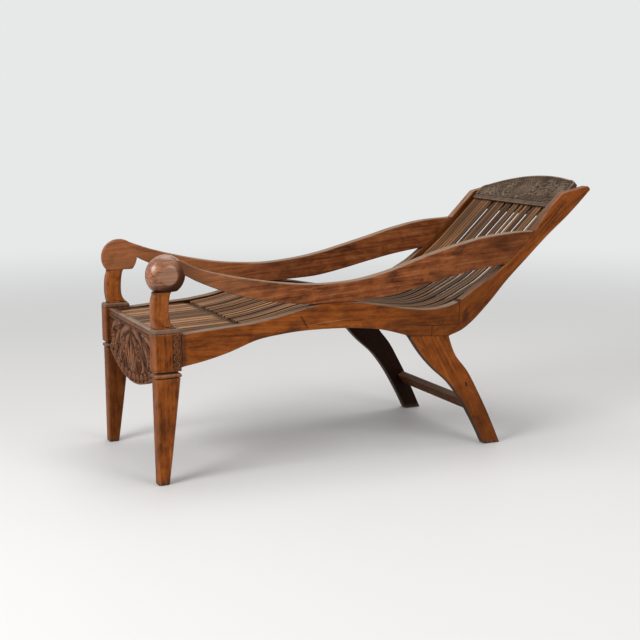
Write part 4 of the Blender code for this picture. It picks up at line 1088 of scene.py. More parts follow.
def seat_rail(side, sign):
    """One seat rail, cut level where the arm lies on it."""
    contact = SEAT_HEIGHT + ARM_MEETS_RAIL
    top = cut_level(between(frame_top(side), BLOCK_DEPTH + FIT, RAIL_END - FIT), contact, 1)
    bottom = smooth_path(raised(RAIL_BOTTOM))
    bottom[0].x += FIT
    end = [
        Vector((LAP_START - FIT, shoulder(LAP_START))), Vector((LAP_START - FIT, LAP_Z + FIT)),
        Vector((RAIL_END - FIT, LAP_Z + FIT)),
    ]
    level = [point for point in top if abs(point.y - contact) < 1e-6]
    seams = ([bottom[-1], *end, top[-1]], [bottom[0], top[0]], level)
    # The rail's inner side is painted near black, as painted shade.
    teak_here = teak(
        f"seat_rail_teak_{side}", grain=math.radians(-2), centre=(0, 1.5 - 1.5 * sign, 0.5 - 0.5 * sign),
        marks=RAIL_MARKS, dust=0.75, figured=(0.34, 0.38, 0.45), tints=(OLD_TENON, RAIL_SHADE),
        faces=painted_shade_side(sign, 0.85))
    rail = board(f"rail_{side}", bottom + end + top[::-1], BOARD, sign * BOARD_X, teak_here, seams=seams)
    return fit(rail, "frame_wood", f"seat_rail_{side}")


for side, sign in SIDES.items():
    seat_rail(side, sign)

# Back stiles
# The board behind the scarf, rising to the top of the back. Its inner cheek runs on behind the
# rail, and a peg holds the two together. The left one has a long drying crack near its top.
STILE_BACK = (
    SHOULDER_BACK, (1.082, -0.066), (1.122, -0.040), (1.155, -0.012), (1.196, 0.027),
    (1.253, 0.088), (1.321, 0.151), (1.413, 0.234), (1.506, 0.310), (1.595, 0.393),
)
STILE_TIP_Y = STILE_BACK[-1][0] - 0.011
CRACK_MARK = (1.440 - MIDDLE_Y, SEAT_HEIGHT + 0.305, math.radians(46), 0.110, 0.0022, 0.85, INK)
DARK_PATCH = (1.094 - MIDDLE_Y, SEAT_HEIGHT - 0.020, math.radians(75), 0.034, 0.013, 0.50, INK)
STILE_SHADE = (2, SEAT_HEIGHT + 0.20, SEAT_HEIGHT + 0.05, 0.50, DARK_TEAK)
SOILED_EDGE = (0, BOARD_OUTER - 0.003, BOARD_OUTER - 0.012, 0.80, (0.070, 0.034, 0.018))
STILE_TINTS = {"left": (STILE_SHADE, SOILED_EDGE), "right": (STILE_SHADE,)}
STILE_WEAR = {"left": 0.45, "right": 1.0}
# How strongly each stile's inner side is painted with shade.
STILE_INNER_SHADE = {"left": 0.80, "right": 0.45}


def back_stile(side, sign):
    """One stile, from its lap behind the rail's end up to its own height."""
    top = frame_top(side)
    front = [point for point in top if point.x > RAIL_END + 1e-4 and point.y < stile_cut(point.x, side)]
    last, previous = front[-1], front[-2]
    along = (last - previous).normalized()
    reach = (stile_cut(last.x, side) - last.y) / (along.y - STILE_TOP_SLOPE * along.x)
    seam_top = Vector((RAIL_END, height_at(top, RAIL_END)))
    tip = Vector((STILE_TIP_Y, stile_cut(STILE_TIP_Y, side)))
    back = [point for point in smooth_path(raised(STILE_BACK)) if point.y < tip.y - 0.006]
    foot = [Vector((LAP_START, LAP_Z)), Vector((LAP_START, shoulder(LAP_START)))]
    lap_end = Vector((RAIL_END, LAP_Z))
    outline = foot + back + [tip, last + along * reach] + front[::-1] + [seam_top, lap_end]
    seams = ([seam_top, lap_end, *foot, back[0]],)
    # The stile's inner side is painted near black, as painted shade.
    teak_here = teak(
        f"back_stile_teak_{side}", grain=math.radians(40), centre=(0, 1 - sign, 1.5 - 1.5 * sign),
        marks=(CRACK_MARK, DARK_PATCH), dust=0.14, wear=STILE_WEAR[side], figured=(0.42, 0.45, 0.40),
        tints=STILE_TINTS[side], faces=painted_shade_side(sign, STILE_INNER_SHADE[side]))
    stile = board(f"stile_{side}", outline, BOARD, sign * BOARD_X, teak_here, seams=seams)
    return fit(stile, "frame_wood", f"back_stile_{side}")


for side, sign in SIDES.items():
    back_stile(side, sign)

# Rear legs
# Swept boards that carry the scarf from below, tenoned up into it. Their inner and front sides are
# painted nearly black, as painted shade, and the feet are scuffed.
REAR_LEG_FRONT = (
    (0.935, 0.82), (0.980, 0.70), (1.043, 0.56), (1.098, 0.377), (1.142, 0.19), (1.182, 0.0),
)
REAR_LEG_BACK = (
    (1.060, 0.83), (1.108, 0.675), (1.146, 0.51), (1.179, 0.355), (1.213, 0.175), (1.245, 0.0),
)
KNOT_MARK = (1.103 - MIDDLE_Y, 0.220, math.radians(-60), 0.011, 0.0042, 0.9, INK)
SHANK_SHADE = (2, 0.30, 0.10, 0.50, (0.050, 0.012, 0.0014))


def rear_leg(side, sign):
    """One rear leg, from the shoulder under the scarf down to the floor."""
    def edge(points, y):
        top = shoulder(y) - FIT
        return smooth_path([(y, top)] + [(place, top * share) for place, share in points])

    front = edge(REAR_LEG_FRONT, SHOULDER_FRONT[0] + 0.003)
    back = edge(REAR_LEG_BACK, SHOULDER_BACK[0] - 0.003)
    seams = ([front[0], back[0]],)
    # The inner and front sides get near-black painted shade.
    teak_here = teak(
        f"rear_leg_teak_{side}", grain=math.radians(-62), centre=(0, 2.5 - 2.5 * sign, 1 - sign),
        marks=(KNOT_MARK,), stains=0.6, wear=0.5, dust=0.2, figured=(0.28, 0.32, 0.42), tints=(SHANK_SHADE,),
        faces=(((-0.8 * sign, -0.6, 0), 0.1, 0.62, 0.95, PAINTED_SHADE_TONE),))
    leg = board(
        f"hind_leg_{side}", front + back[::-1], BOARD, sign * BOARD_X, teak_here, seams=seams, corner=0.004)
    return fit(leg, "frame_wood", f"rear_leg_{side}")


for side, sign in SIDES.items():
    rear_leg(side, sign)

# Rear stretcher
# A flat bar of teak between the rear legs, let into their inner sides at a slant. It is square-edged
# and unpolished, and dust lies on its upper side.
STRETCHER_Y = 1.168
STRETCHER_HEIGHT = 0.126
STRETCHER_WIDTH = 0.044
STRETCHER_THICKNESS = 0.026
STRETCHER_LEAN = math.radians(36)

STRETCHER_LENGTH = 2 * BOARD_INNER + 0.002
STRETCHER_SHADES = (
    (0.026, 0.007, 0.0012), (0.070, 0.019, 0.0028), (0.125, 0.037, 0.0060), (0.18, 0.066, 0.015))
STRETCHER_TOP = ((-0.3, -0.1, 1.0), 0.75, 0.95, 0.6, (0.060, 0.042, 0.032))

down = Vector((math.sin(STRETCHER_LEAN), -math.cos(STRETCHER_LEAN))) * STRETCHER_WIDTH / 2
backward = Vector((math.cos(STRETCHER_LEAN), math.sin(STRETCHER_LEAN))) * STRETCHER_THICKNESS / 2
middle = Vector((STRETCHER_Y, STRETCHER_HEIGHT))
stretcher = board(
    "stretcher",
    [middle - down - backward, middle + down - backward, middle + down + backward, middle - down + backward],
    STRETCHER_LENGTH, 0,
    teak("stretcher_teak", along="x", dust=0.30, polish=0.0, wear=0.5, shades=STRETCHER_SHADES,
         faces=(STRETCHER_TOP,)),
    arris=0.0006, corner=0.004)
fit(stretcher, "frame_wood", "rear_stretcher")

# Cross rails
# Four rails under the slats, tenoned into the side frames. They are rough, painted dark as shade, and
# the front one shows in the gap between the two runs of slats. Their CAD solids have the right shape.
# Dark tones, as painted shade on rails that lie under the slats.
SHADED_RAIL_TONES = ((0.012, 0.007, 0.005), (0.036, 0.020, 0.013), (0.065, 0.037, 0.023), (0.11, 0.066, 0.042))
# The top rail is painted lighter, as painted light where it lies in shade behind the slats.
TOP_RAIL_PAINTED_LIGHT = (2, 0.66, 0.72, 0.90, (0.240, 0.140, 0.085))
UNDER_TEAK = teak(
    "cross_rail_teak", along="x", gloss=0.5, dust=0.10, polish=0.0, tints=(TOP_RAIL_PAINTED_LIGHT,),
    shades=SHADED_RAIL_TONES)
for name in ("front_cross_rail", "middle_cross_rail", "rear_cross_rail", "top_cross_rail"):
    rail_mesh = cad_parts[name].data
    rail_mesh.materials.clear()
    rail_mesh.materials.append(UNDER_TEAK)

# Slats
# Thin strips of weathered teak, bent over the rails. The broad front run stands in a groove of the
# apron. The narrow main run reaches the crest, and has crept apart in places, so light comes through.
SLAT_THICKNESS = 0.006
# Slats in a run, their arris, the pitch of their rings, how far they wander, and the seed.
SLAT_RUNS = {
    "main_slat": (24, 0.0027, 0.011, 0.0022, 3),
    "front_slat": (16, 0.0016, 0.016, 0.0016, 8),
}
SLAT_CORNER_STEPS = 3
# How far a slat lies high or low, and how far apart the slats' paths lie in the noise.
SETTLED = 0.0006
TONE_ROWS = 60.0
CREST_LEAN = math.radians(46)
# How far the last ring but one stays away from the crest's foot, and the last one.
SLAT_SHORT, SLAT_GAP = 0.004, 0.0006
SLAT_SHADES = (
    (0.24, (0.062, 0.029, 0.015)), (0.44, (0.150, 0.068, 0.031)), (0.60, (0.260, 0.124, 0.057)),
    (0.80, (0.420, 0.215, 0.095)),
)
GREYED, DIP_TONE, BACK_BROWN, EDGE_DIRT_AND_SHADE = (
    (0.135, 0.098, 0.072), (0.055, 0.037, 0.026), (0.070, 0.030, 0.012), (0.018, 0.010, 0.006))


def strip(name, path, width, arris, pitch):
    """One slat along a path, at x 0. Its run attribute holds x, length along it and thickness."""
    fine = []
    for start, end in zip(path, path[1:]):
        pieces = max(1, round((end - start).length / pitch))
        fine += [start.lerp(end, step / pieces) for step in range(pieces)]
    fine.append(path[-1])
    half, high = width / 2, SLAT_THICKNESS / 2
    section = []
    for corner_x, corner_h, first in ((1, 1, 0), (-1, 1, 90), (-1, -1, 180), (1, -1, 270)):
        for step in range(SLAT_CORNER_STEPS + 1):
            turn = math.radians(first + 90 * step / SLAT_CORNER_STEPS)
            section.append((corner_x * (half - arris) + arris * math.cos(turn),
                            corner_h * (high - arris) + arris * math.sin(turn)))
    points, runs, worn = [], [], []
    length = 0.0
    for index, point in enumerate(fine):
        along = (fine[min(index + 1, len(fine) - 1)] - fine[max(index - 1, 0)]).normalized()
        length += (point - fine[index - 1]).length if index else 0.0
        up = Vector((-along.y, along.x))
        for x, rise in section:
            spot = point + up * (rise - high)
            points.append((x, spot.x, spot.y))
            runs.append((x, length, rise))
            worn.append(half)
    return ring_piece(name, points, len(section), SLAT_TEAK, {"run": runs, "worn": worn})


def slat_tree(name, seed):
    """Sets one slat on every point of the mesh, lets each wander a little, and gives it a tone."""
    tree = bpy.data.node_groups.new(name, "GeometryNodeTree")
    tree.interface.new_socket("Places", in_out="INPUT", socket_type="NodeSocketGeometry")
    slat_socket = tree.interface.new_socket("Slat", in_out="INPUT", socket_type="NodeSocketObject")
    drift_socket = tree.interface.new_socket("Drift", in_out="INPUT", socket_type="NodeSocketFloat")
    tree.interface.new_socket("Slats", in_out="OUTPUT", socket_type="NodeSocketGeometry")

    def add(kind, settings=None, sockets=None):
        node = tree.nodes.new(kind)
        for key, value in (settings or {}).items():
            setattr(node, key, value)
        for key, value in (sockets or {}).items():
            if isinstance(value, bpy.types.NodeSocket):
                tree.links.new(value, node.inputs[key])
            else:
                node.inputs[key].default_value = value
        return node

    given = add("NodeGroupInput").outputs
    picked = add("GeometryNodeObjectInfo", None, {"Object": given["Slat"]})
    spread = add("GeometryNodeInstanceOnPoints", None, {
        "Points": given["Places"], "Instance": picked.outputs["Geometry"]})
    tone = add("FunctionNodeRandomValue", {"data_type": "FLOAT"}, {"Seed": seed})
    toned = add("GeometryNodeStoreNamedAttribute", {"data_type": "FLOAT", "domain": "INSTANCE"}, {
        "Geometry": spread.outputs[0], "Name": "tone", "Value": tone.outputs[1]})
    real = add("GeometryNodeRealizeInstances", None, {0: toned.outputs[0]})
    own_tone = add("GeometryNodeInputNamedAttribute", {"data_type": "FLOAT"}, {"Name": "tone"})
    run = add("GeometryNodeInputNamedAttribute", {"data_type": "FLOAT_VECTOR"}, {"Name": "run"})
    length = add("ShaderNodeSeparateXYZ", None, {0: run.outputs[0]})
    shifted = add("ShaderNodeMath", {"operation": "MULTIPLY"}, {0: own_tone.outputs[0], 1: TONE_ROWS})
    row = add("ShaderNodeCombineXYZ", None, {0: length.outputs[1], 1: shifted.outputs[0]})
    wander = add("ShaderNodeTexNoise", {"noise_dimensions": "3D"}, {
        "Vector": row.outputs[0], "Scale": 5.0, "Detail": 1.0})
    centred = add("ShaderNodeMath", {"operation": "SUBTRACT"}, {0: wander.outputs[0], 1: 0.5})
    sideways = add("ShaderNodeMath", {"operation": "MULTIPLY"}, {0: centred.outputs[0], 1: given["Drift"]})
    settled = add("ShaderNodeMath", {"operation": "MULTIPLY_ADD"}, {
        0: own_tone.outputs[0], 1: 2 * SETTLED, 2: -SETTLED})
    push = add("ShaderNodeCombineXYZ", None, {0: sideways.outputs[0], 2: settled.outputs[0]})
    moved = add("GeometryNodeSetPosition", None, {"Geometry": real.outputs[0], "Offset": push.outputs[0]})
    painted = add("GeometryNodeSetMaterial", None, {"Geometry": moved.outputs[0], "Material": SLAT_TEAK})
    out = add("NodeGroupOutput")
    tree.links.new(painted.outputs[0], out.inputs[0])
    return tree, slat_socket.identifier, drift_socket.identifier


def slat_run(kind, path):
    """One run of slats, as wide as the middle one of its nodes, with one on each of them."""
    count, arris, pitch, drift, seed = SLAT_RUNS[kind]
    names = [f"{kind}_{number:02d}" for number in range(1, count + 1)]
    boxes = [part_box(name) for name in names]
    low, high = boxes[count // 2]
    one = strip(f"{kind}_pattern", path, high.x - low.x, arris, pitch)
    places = bpy.data.meshes.new(f"{kind}_places")
    places.from_pydata([((low.x + high.x) / 2, 0, 0) for low, high in boxes], [], [])
    holder = bpy.data.objects.new(f"{kind}_places", places)
    bpy.context.scene.collection.objects.link(holder)
    tree, slat_input, drift_input = slat_tree(f"{kind}_run", seed)
    grow = holder.modifiers.new("run", "NODES")
    grow.node_group = tree
    grow[slat_input] = one
    grow[drift_input] = drift
    bpy.context.view_layer.update()
    grown = bpy.context.evaluated_depsgraph_get()
    mesh = bpy.data.meshes.new_from_object(
        holder.evaluated_get(grown), preserve_all_data_layers=True, depsgraph=grown)
    bpy.data.objects.remove(holder)
    bpy.data.objects.remove(one)
    run = bpy.data.objects.new(f"{kind}_run", mesh)
    bpy.context.scene.collection.objects.link(run)
    return fit(run, "slat_wood", *names)


def slat_teak():
    """Grey-brown weathered teak. Every slat has its own tone and its own grain."""
    wood = Finish(bpy.data.materials.new("slat_teak"))
    run = wood.node("Attribute", {"attribute_name": "run"}, None, 1)
    tone = wood.node("Attribute", {"attribute_name": "tone"}, None, 2)
    apart = wood.node("CombineXYZ", None, {0: tone * 31.0, 1: tone * 57.0})
    place = wood.node("VectorMath", {"operation": "ADD"}, {0: run, 1: apart})
    here = wood.node("TexCoord", None, None, "Object")
    bands = wood.grain_noise(place, (150, 3.5, 150), 4.0, 0.62, 0.5)
    fibres = wood.grain_noise(place, (1100, 30, 1100), 2.0, 0.6)
    patches = wood.grain_noise(here, (7, 5, 5), 3.0, 0.6, 0.5)
    share = bands * 0.75 + tone * 0.48 - 0.12
    colour = wood.node("ValToRGB", {"stops": SLAT_SHADES}, {0: share})
    colour = wood.shade(colour, wood.step(fibres, 0.3, 0.55) * 0.35 + 0.70)
    colour = wood.blend(wood.step(patches, 0.46, 0.70) * 0.42, colour, GREYED)
    depth = wood.node("SeparateXYZ", None, {0: here}, 1)
    # Darker from the dip of the seat to the foot of the back.
    over_dip = wood.step(depth, -0.05, 0.10) * (1 - wood.step(depth, 0.36, 0.52))
    colour = wood.blend(over_dip * 0.62, colour, DIP_TONE)
    half = wood.node("Attribute", {"attribute_name": "worn"}, None, 2)
    inside = half - wood.node("SeparateXYZ", None, {0: run}, 0).size()
    raised_back = wood.step(depth, 0.44, 0.60)
    colour = wood.blend(raised_back * 0.30, colour, BACK_BROWN)
    colour = wood.shade(colour, 1 - raised_back * (1 - wood.step(depth, 0.62, 0.76)) * 0.30)
    # Each slat darkens along its edges: dirt, and painted shade of the gaps between slats.
    edge_dirt_and_shade = 1 - wood.step(inside + bands * 0.0016, 0.0012, 0.0040)
    colour = wood.blend(edge_dirt_and_shade * (0.80 - raised_back * 0.30), colour, EDGE_DIRT_AND_SHADE)
    rough = 0.50 + wood.step(patches, 0.4, 0.7) * 0.15
    return wood.finish(
        {"Base Color": colour, "Roughness": rough, "Coat Weight": 0.02, **COAT},
        ((bands, 0.0010), (fibres, 0.0003)))


SLAT_TEAK = slat_teak()
crest_foot = Vector((CREST_Y, height_at(slat_path(), CREST_Y)))
crest_up = Vector((math.cos(CREST_LEAN), math.sin(CREST_LEAN)))
crest_out = Vector((-math.sin(CREST_LEAN), math.cos(CREST_LEAN)))
main_path = between(slat_path(), MAIN_SLAT_START, CREST_Y - 0.008)
main_path = [point for point in main_path if (point - crest_foot).dot(crest_up) < -SLAT_SHORT]
main_path.append(crest_foot - crest_up * SLAT_GAP)
slat_run("main_slat", main_path)
slat_run("front_slat", front_slat_path())

# Crest
# A carved board between the stiles, leaning with the back. A band with two fine lines runs along
# its foot, and leaves fan out above it under an arched edge that has settled to one side.
CREST_THICKNESS = 0.020
CREST_PROUD = 0.008
CREST_END_HEIGHT = 0.078
CREST_SHOULDER_HEIGHT = 0.098
CREST_MID_HEIGHT = 0.130
CREST_SHOULDER = 0.034
CREST_TILT = 0.125
CREST_BAND = 0.016
CREST_RELIEF = 0.0034
CREST_ARRIS = 0.0020
CREST_GRID = 0.0014
CREST_RIM = 0.0058
RIM_GROOVE = 0.0070
# Height and depth of the lines cut along the foot.
CREST_GROOVES = ((0.0045, 0.30), (0.0100, 0.30), (CREST_BAND + 0.0010, 1.0))
CREST_SCROLLS = (
    ((0.078, 0.062), 0.024, -130, 1.4, 9, 0.026),
    ((0.160, 0.060), 0.020, 50, -1.4, 9, 0.022),
    ((0.222, 0.050), 0.012, -130, 1.3, 7, 0.014),
)
# Way out, height, lean and length of the single leaves between the scrolls.
CREST_LEAVES = (
    (0.024, 0.030, 1.2, 0.040), (0.110, 0.030, 0.7, 0.034), (0.116, 0.098, 1.9, 0.030),
    (0.118, 0.028, 1.5, 0.034), (0.196, 0.030, 0.4, 0.036), (0.235, 0.034, 0.9, 0.026),
)
SPRAY_LEAVES, SPRAY_STEP = 7, 0.009
FAN_LEAVES, FAN_LEAN, FAN_LENGTH = 5, 0.24, 0.082


def crest_edge(x):
    """Height of the crest's upper edge over its foot."""
    half = BOARD_INNER - FIT
    flat = half - CREST_SHOULDER
    reach = np.minimum(np.abs(x), flat) / flat
    arch = CREST_MID_HEIGHT - (CREST_MID_HEIGHT - CREST_SHOULDER_HEIGHT) * reach ** 2
    past = np.maximum(np.abs(x) - flat, 0) / CREST_SHOULDER
    drop = (CREST_SHOULDER_HEIGHT - CREST_END_HEIGHT) * (1 - np.sqrt(np.maximum(1 - past ** 2, 0)))
    return arch - drop + CREST_TILT * x


def crest_relief(x, z, margin):
    """The crest's carving, from the ground up to the rim, 0 to 1."""
    field = np.zeros(x.shape)
    straight = z
    z = z - CREST_TILT * x
    undergrowth(field, x, z, 0.0130, lambda spot: math.pi / 2 - spot.x * 6 + 0.5 * math.sin(spot.y * 70), 6)
    for side in (1, -1):
        for number in range(SPRAY_LEAVES):
            at = 0.205 + number * SPRAY_STEP
            root = Vector((side * (at - 0.02), 0.022))
            tip = Vector((side * (at + 0.004), 0.088 - number * 0.008))
            sprig(field, x, z, root, tip, Vector((side * 0.006, -0.004)), lobed(0.0062), leaf)
        for at, rise, lean, long in CREST_LEAVES:
            root = Vector((side * at, rise))
            tip = root + Vector((side * math.sin(lean), math.cos(lean))) * long
            bend = Vector((side * long * 0.15, long * 0.12))
            sprig(field, x, z, root, tip, bend, lobed(long * 0.25), leaf)
        for whorl in CREST_SCROLLS:
            scroll(field, x, z, side, *whorl)
    for number in range(-FAN_LEAVES, FAN_LEAVES + 1):
        lean = number * FAN_LEAN
        long = FAN_LENGTH - abs(number) * 0.006
        root = Vector((number * 0.0018, 0.028))
        tip = root + Vector((math.sin(lean), math.cos(lean))) * long
        sprig(field, x, z, root, tip, Vector((number * 0.0020, 0)), lobed(0.0078), leaf, 0.55)
    boss(field, x, z, (0, 0.027), 0.010)
    field = np.maximum(field, np.clip((CREST_RIM - margin) / 0.0006, 0, 1))
    field = field * (1 - np.exp(-((margin - RIM_GROOVE) / 0.0009) ** 2))
    field[straight < CREST_BAND] = 0.50
    for line, deep in CREST_GROOVES:
        field -= deep * np.exp(-((straight - line) / 0.0011) ** 2)
    return np.clip(field, 0, 1)


def on_crest(x, z, out):
    """Where a point of the crest's face lies on the chair."""
    spot = crest_foot + crest_up * z + crest_out * (CREST_PROUD + out)
    return (x, spot.x, spot.y)


CREST_TEAK = carved_teak(
    "crest_teak", (0.028, 0.018, 0.012), (0.094, 0.060, 0.040), (0.190, 0.128, 0.088), gloss=0.55, dust=0.30)
crest = carved_slab(
    "crest", BOARD_INNER - FIT, straight_edge, crest_edge, CREST_GRID, crest_relief, CREST_RELIEF,
    CREST_THICKNESS, CREST_ARRIS, on_crest, CREST_TEAK)
fit(crest, "carved_wood", "crest_panel")

# Arm posts
# Short waisted posts from the leg blocks to the balls, with their arrises cut away. The foot of
# each runs out behind in a low tail, whose outer side is cut back to a ribbed leaf.
ARM_SHIFT = 0.006
POST_TOP = SEAT_HEIGHT + 0.1275
POST_WIDTH = 0.036
POST_SETBACK = 0.005
POST_X = WIDTH / 2 - POST_SETBACK - POST_WIDTH / 2
POST_FRONT = ((0.0130, 1.0), (0.0050, 0.77), (0.003, 0.37), (0.006, 0.12), (0.010, 0.0))
POST_REAR = (
    (0.0645, 1.0), (0.0595, 0.76), (0.057, 0.50), (0.058, 0.28), (0.064, 0.13), (0.078, 0.0),
)
POST_ARRIS = 0.0075
POST_TEAK = teak(
    "arm_post_teak", grain=math.radians(88), dust=0.35, stains=0.6, figured=(0.18, 0.22, 0.55),
    shades=((0.070, 0.018, 0.004), (0.165, 0.042, 0.008), (0.265, 0.075, 0.014), (0.36, 0.130, 0.032)))
LEAF_FRONT = 0.0570
LEAF_PROUD = 0.0012
LEAF_GRID = 0.0008
LEAF_RELIEF = 0.0022
LEAF_THICKNESS = 0.012
LEAF_ARRIS = 0.0007
LEAF_RIBS = 6.5
LEAF_TEAK = carved_teak(
    "post_leaf_teak", (0.012, 0.005, 0.003), (0.070, 0.027, 0.012), (0.190, 0.085, 0.040), gloss=0.45)


def arm_post(side, sign):
    """One post, and the carved leaf on the outer side of its tail."""
    base = SEAT_HEIGHT + CAP_HEIGHT + FIT
    rise = POST_TOP - base
    shift = sign * ARM_SHIFT

    def edge(points):
        return smooth_path([(y - shift, base + rise * share) for y, share in points], 6)

    front, rear = edge(POST_FRONT), edge(POST_REAR)
    seams = ([front[0], rear[0]], [front[-1], rear[-1]])
    post = board(
        f"post_{side}", front + rear[::-1], POST_WIDTH, sign * POST_X, POST_TEAK, arris=POST_ARRIS,
        seams=seams, corner=0.003)
    fit(post, "frame_wood", f"arm_post_{side}")
    fall = [point for point in rear if point.y < base + 0.45 * rise]
    start, end = LEAF_FRONT - shift, depth_at(fall, base + 0.0030)
    middle, half = (start + end) / 2, (end - start) / 2
    fall = sorted((point for point in fall if point.x > start), key=lambda point: point.x)

    def crown(x):
        return np.interp(x + middle, [point.x for point in fall], [point.y for point in fall]) - base - 0.0012

    def ribs(x, z, margin):
        turn = np.arctan2(z + 0.010, x + half * 1.1)
        return 0.45 + 0.55 * np.abs(np.cos(turn * LEAF_RIBS)) * np.clip(margin / 0.002, 0, 1)

    def on_tail(x, z, out):
        return (sign * (POST_X + POST_WIDTH / 2 + LEAF_PROUD + out), middle + x, base + z)

    leaf = carved_slab(
        f"post_leaf_{side}", half, straight_edge, crown, LEAF_GRID, ribs, LEAF_RELIEF,
        LEAF_THICKNESS, LEAF_ARRIS, on_tail, LEAF_TEAK)
    return fit(leaf, "frame_wood", f"arm_post_{side}")


for side, sign in SIDES.items():
    arm_post(side, sign)

# Arms
# Long swept boards that lie on the rails over the knees and die into the stiles. They are redder
# and darker than the rails, and pale along the top where hands have rubbed them.
ARM_TOP = {
    "left": (
        (0.070, 0.2240), (0.088, 0.2235), (0.130, 0.2015), (0.176, 0.184), (0.278, 0.160), (0.400, 0.137),
        (0.510, 0.1245), (0.600, 0.122), (0.700, 0.129), (0.800, 0.149), (0.905, 0.181),
        (1.015, 0.212), (1.130, 0.238), (1.245, 0.254), (1.375, 0.2595),
    ),
    "right": (
        (0.070, 0.2165), (0.084, 0.2255), (0.103, 0.2190), (0.145, 0.2035), (0.188, 0.189),
        (0.278, 0.165), (0.400, 0.140), (0.510, 0.1275), (0.600, 0.125), (0.700, 0.132),
        (0.800, 0.1475), (0.905, 0.1715), (1.015, 0.1995), (1.130, 0.230), (1.245, 0.251), (1.375, 0.2595),
    ),
}
ARM_BOTTOM = {
    "left": (
        (0.070, 0.172), (0.100, 0.1755), (0.150, 0.151), (0.212, 0.124), (0.296, 0.096),
        (0.402, 0.073), (0.512, 0.0595), (0.600, 0.0565), (0.700, 0.0595), (0.801, 0.067),
        (0.908, 0.089), (1.020, 0.114), (1.135, 0.136), (1.265, 0.151),
    ),
    "right": (
        (0.070, 0.168), (0.106, 0.1735), (0.150, 0.152), (0.212, 0.125), (0.296, 0.097),
        (0.402, 0.073), (0.512, 0.0595), (0.600, 0.0565), (0.700, 0.0590), (0.801, 0.065),
        (0.908, 0.084), (1.020, 0.109), (1.135, 0.132), (1.265, 0.150),
    ),
}
ARM_ARRIS = 0.0042
ARM_SHORT = 0.0025
ARM_SHADES = ((0.050, 0.013, 0.0035), (0.135, 0.036, 0.0095), (0.238, 0.070, 0.0200), (0.33, 0.125, 0.044))
# Each arm, and its ball, turns paler towards the front.
PALER_FORWARD = {
    "left": (1, 0.50 - MIDDLE_Y, 0.16 - MIDDLE_Y, 0.42, (0.345, 0.150, 0.070)),
    "right": (1, 0.80 - MIDDLE_Y, 0.20 - MIDDLE_Y, 0.60, (0.360, 0.138, 0.056)),
}
ARM_REAR = (1, 0.95 - MIDDLE_Y, 1.22 - MIDDLE_Y, 0.45, (0.060, 0.014, 0.0016))
# Painted shadow of the ball on the left arm's front.
BALL_SHADOW_ON_ARM = (1, 0.235 - MIDDLE_Y, 0.110 - MIDDLE_Y, 0.62, (0.085, 0.032, 0.016))
ARM_TINTS = {"left": (PALER_FORWARD["left"], ARM_REAR, BALL_SHADOW_ON_ARM), "right": (PALER_FORWARD["right"],)}
ARM_MARKS = {
    "left": (
        (0.026, 0.616, math.radians(14), 0.024, 0.010, 0.55, INK),
        (0.275, 0.683, math.radians(24), 0.036, 0.013, 0.45, INK),
        (0.101, 0.548, math.radians(8), 0.026, 0.007, 0.50, INK),
        (-0.279, 0.589, math.radians(-3), 0.016, 0.003, 0.60, INK),
        (0.150, 0.610, math.radians(80), 0.030, 0.012, 0.40, (0.330, 0.085, 0.016)),
        (-0.050, 0.580, math.radians(10), 0.060, 0.010, 0.35, (0.320, 0.090, 0.020)),
    ),
    "right": (
        (-0.765, 0.628, math.radians(60), 0.050, 0.014, 0.28, (0.110, 0.036, 0.016)),
        (-0.716, 0.600, math.radians(12), 0.060, 0.010, 0.40, (0.120, 0.040, 0.016)),
        (-0.740, 0.652, math.radians(5), 0.045, 0.007, 0.35, (0.130, 0.045, 0.020)),
        (-0.640, 0.668, math.radians(-14), 0.070, 0.010, 0.40, (0.110, 0.036, 0.016)),
    ),
}
ARM_TEAK = {}
for side, sign in SIDES.items():
    ARM_TEAK[side] = teak(
        f"arm_teak_{side}", grain=math.radians(4), centre=(0, 0.5 - 0.5 * sign, 2 - 2 * sign),
        shades=ARM_SHADES, dust=0.80, stains=0.95, figured=(0.40, 0.42, 0.42), marks=ARM_MARKS[side],
        tints=ARM_TINTS[side])


def arm(side, sign):
    """One arm's board, cut level where it lies on the rail and to the stile's edge behind."""
    contact = SEAT_HEIGHT + ARM_MEETS_RAIL + FIT
    top = smooth_path(raised(ARM_TOP[side]))
    bottom = cut_level(smooth_path(raised(ARM_BOTTOM[side])), contact, -1)
    seat = offset_path([point for point in frame_top(side) if point.x > RAIL_END], FIT)
    top = [point for point in top if point.x < depth_at(seat, point.y) - ARM_SHORT]
    bottom = [p for p in bottom if p.x < depth_at(seat, p.y) - ARM_SHORT or p.x < RAIL_END]
    high, low = top[-1].y, bottom[-1].y
    end = [point for point in seat if low < point.y < high]
    corner_high, corner_low = Vector((depth_at(seat, high), high)), Vector((depth_at(seat, low), low))
    level = [point for point in bottom if abs(point.y - contact) < 1e-6]
    seams = ([corner_low, *end, corner_high], level)
    outline = bottom + [corner_low] + end + [corner_high] + top[::-1]
    piece = board(
        f"arm_board_{side}", outline, BOARD, sign * BOARD_X, ARM_TEAK[side], arris=ARM_ARRIS, seams=seams)
    return fit(piece, "frame_wood", f"arm_{side}")


for side, sign in SIDES.items():
    arm(side, sign)

# Arm balls
# The turned front end of each arm: flat on its inner side, where it carries on the arm's face, and
# domed on its outer side, down to a flat with grain across it. Its foot is cut level for the post.
BALL_RADIUS = 0.062
BALL_Y = 0.054
BALL_Z = {"left": SEAT_HEIGHT + 0.178, "right": SEAT_HEIGHT + 0.171}
BALL_THICKNESS = 0.0474
BALL_FACET = 0.028
BALL_LIP = 0.009
BALL_EDGE, EDGE_STEPS = 0.0028, 4
BALL_SIDES, DOME_STEPS = 96, 22
# The angles between which the arm carries on from the ball, and the angle it takes to fade out.
ARM_SPREAD = (math.radians(-12), math.radians(62))
SPREAD_FADE = 0.12


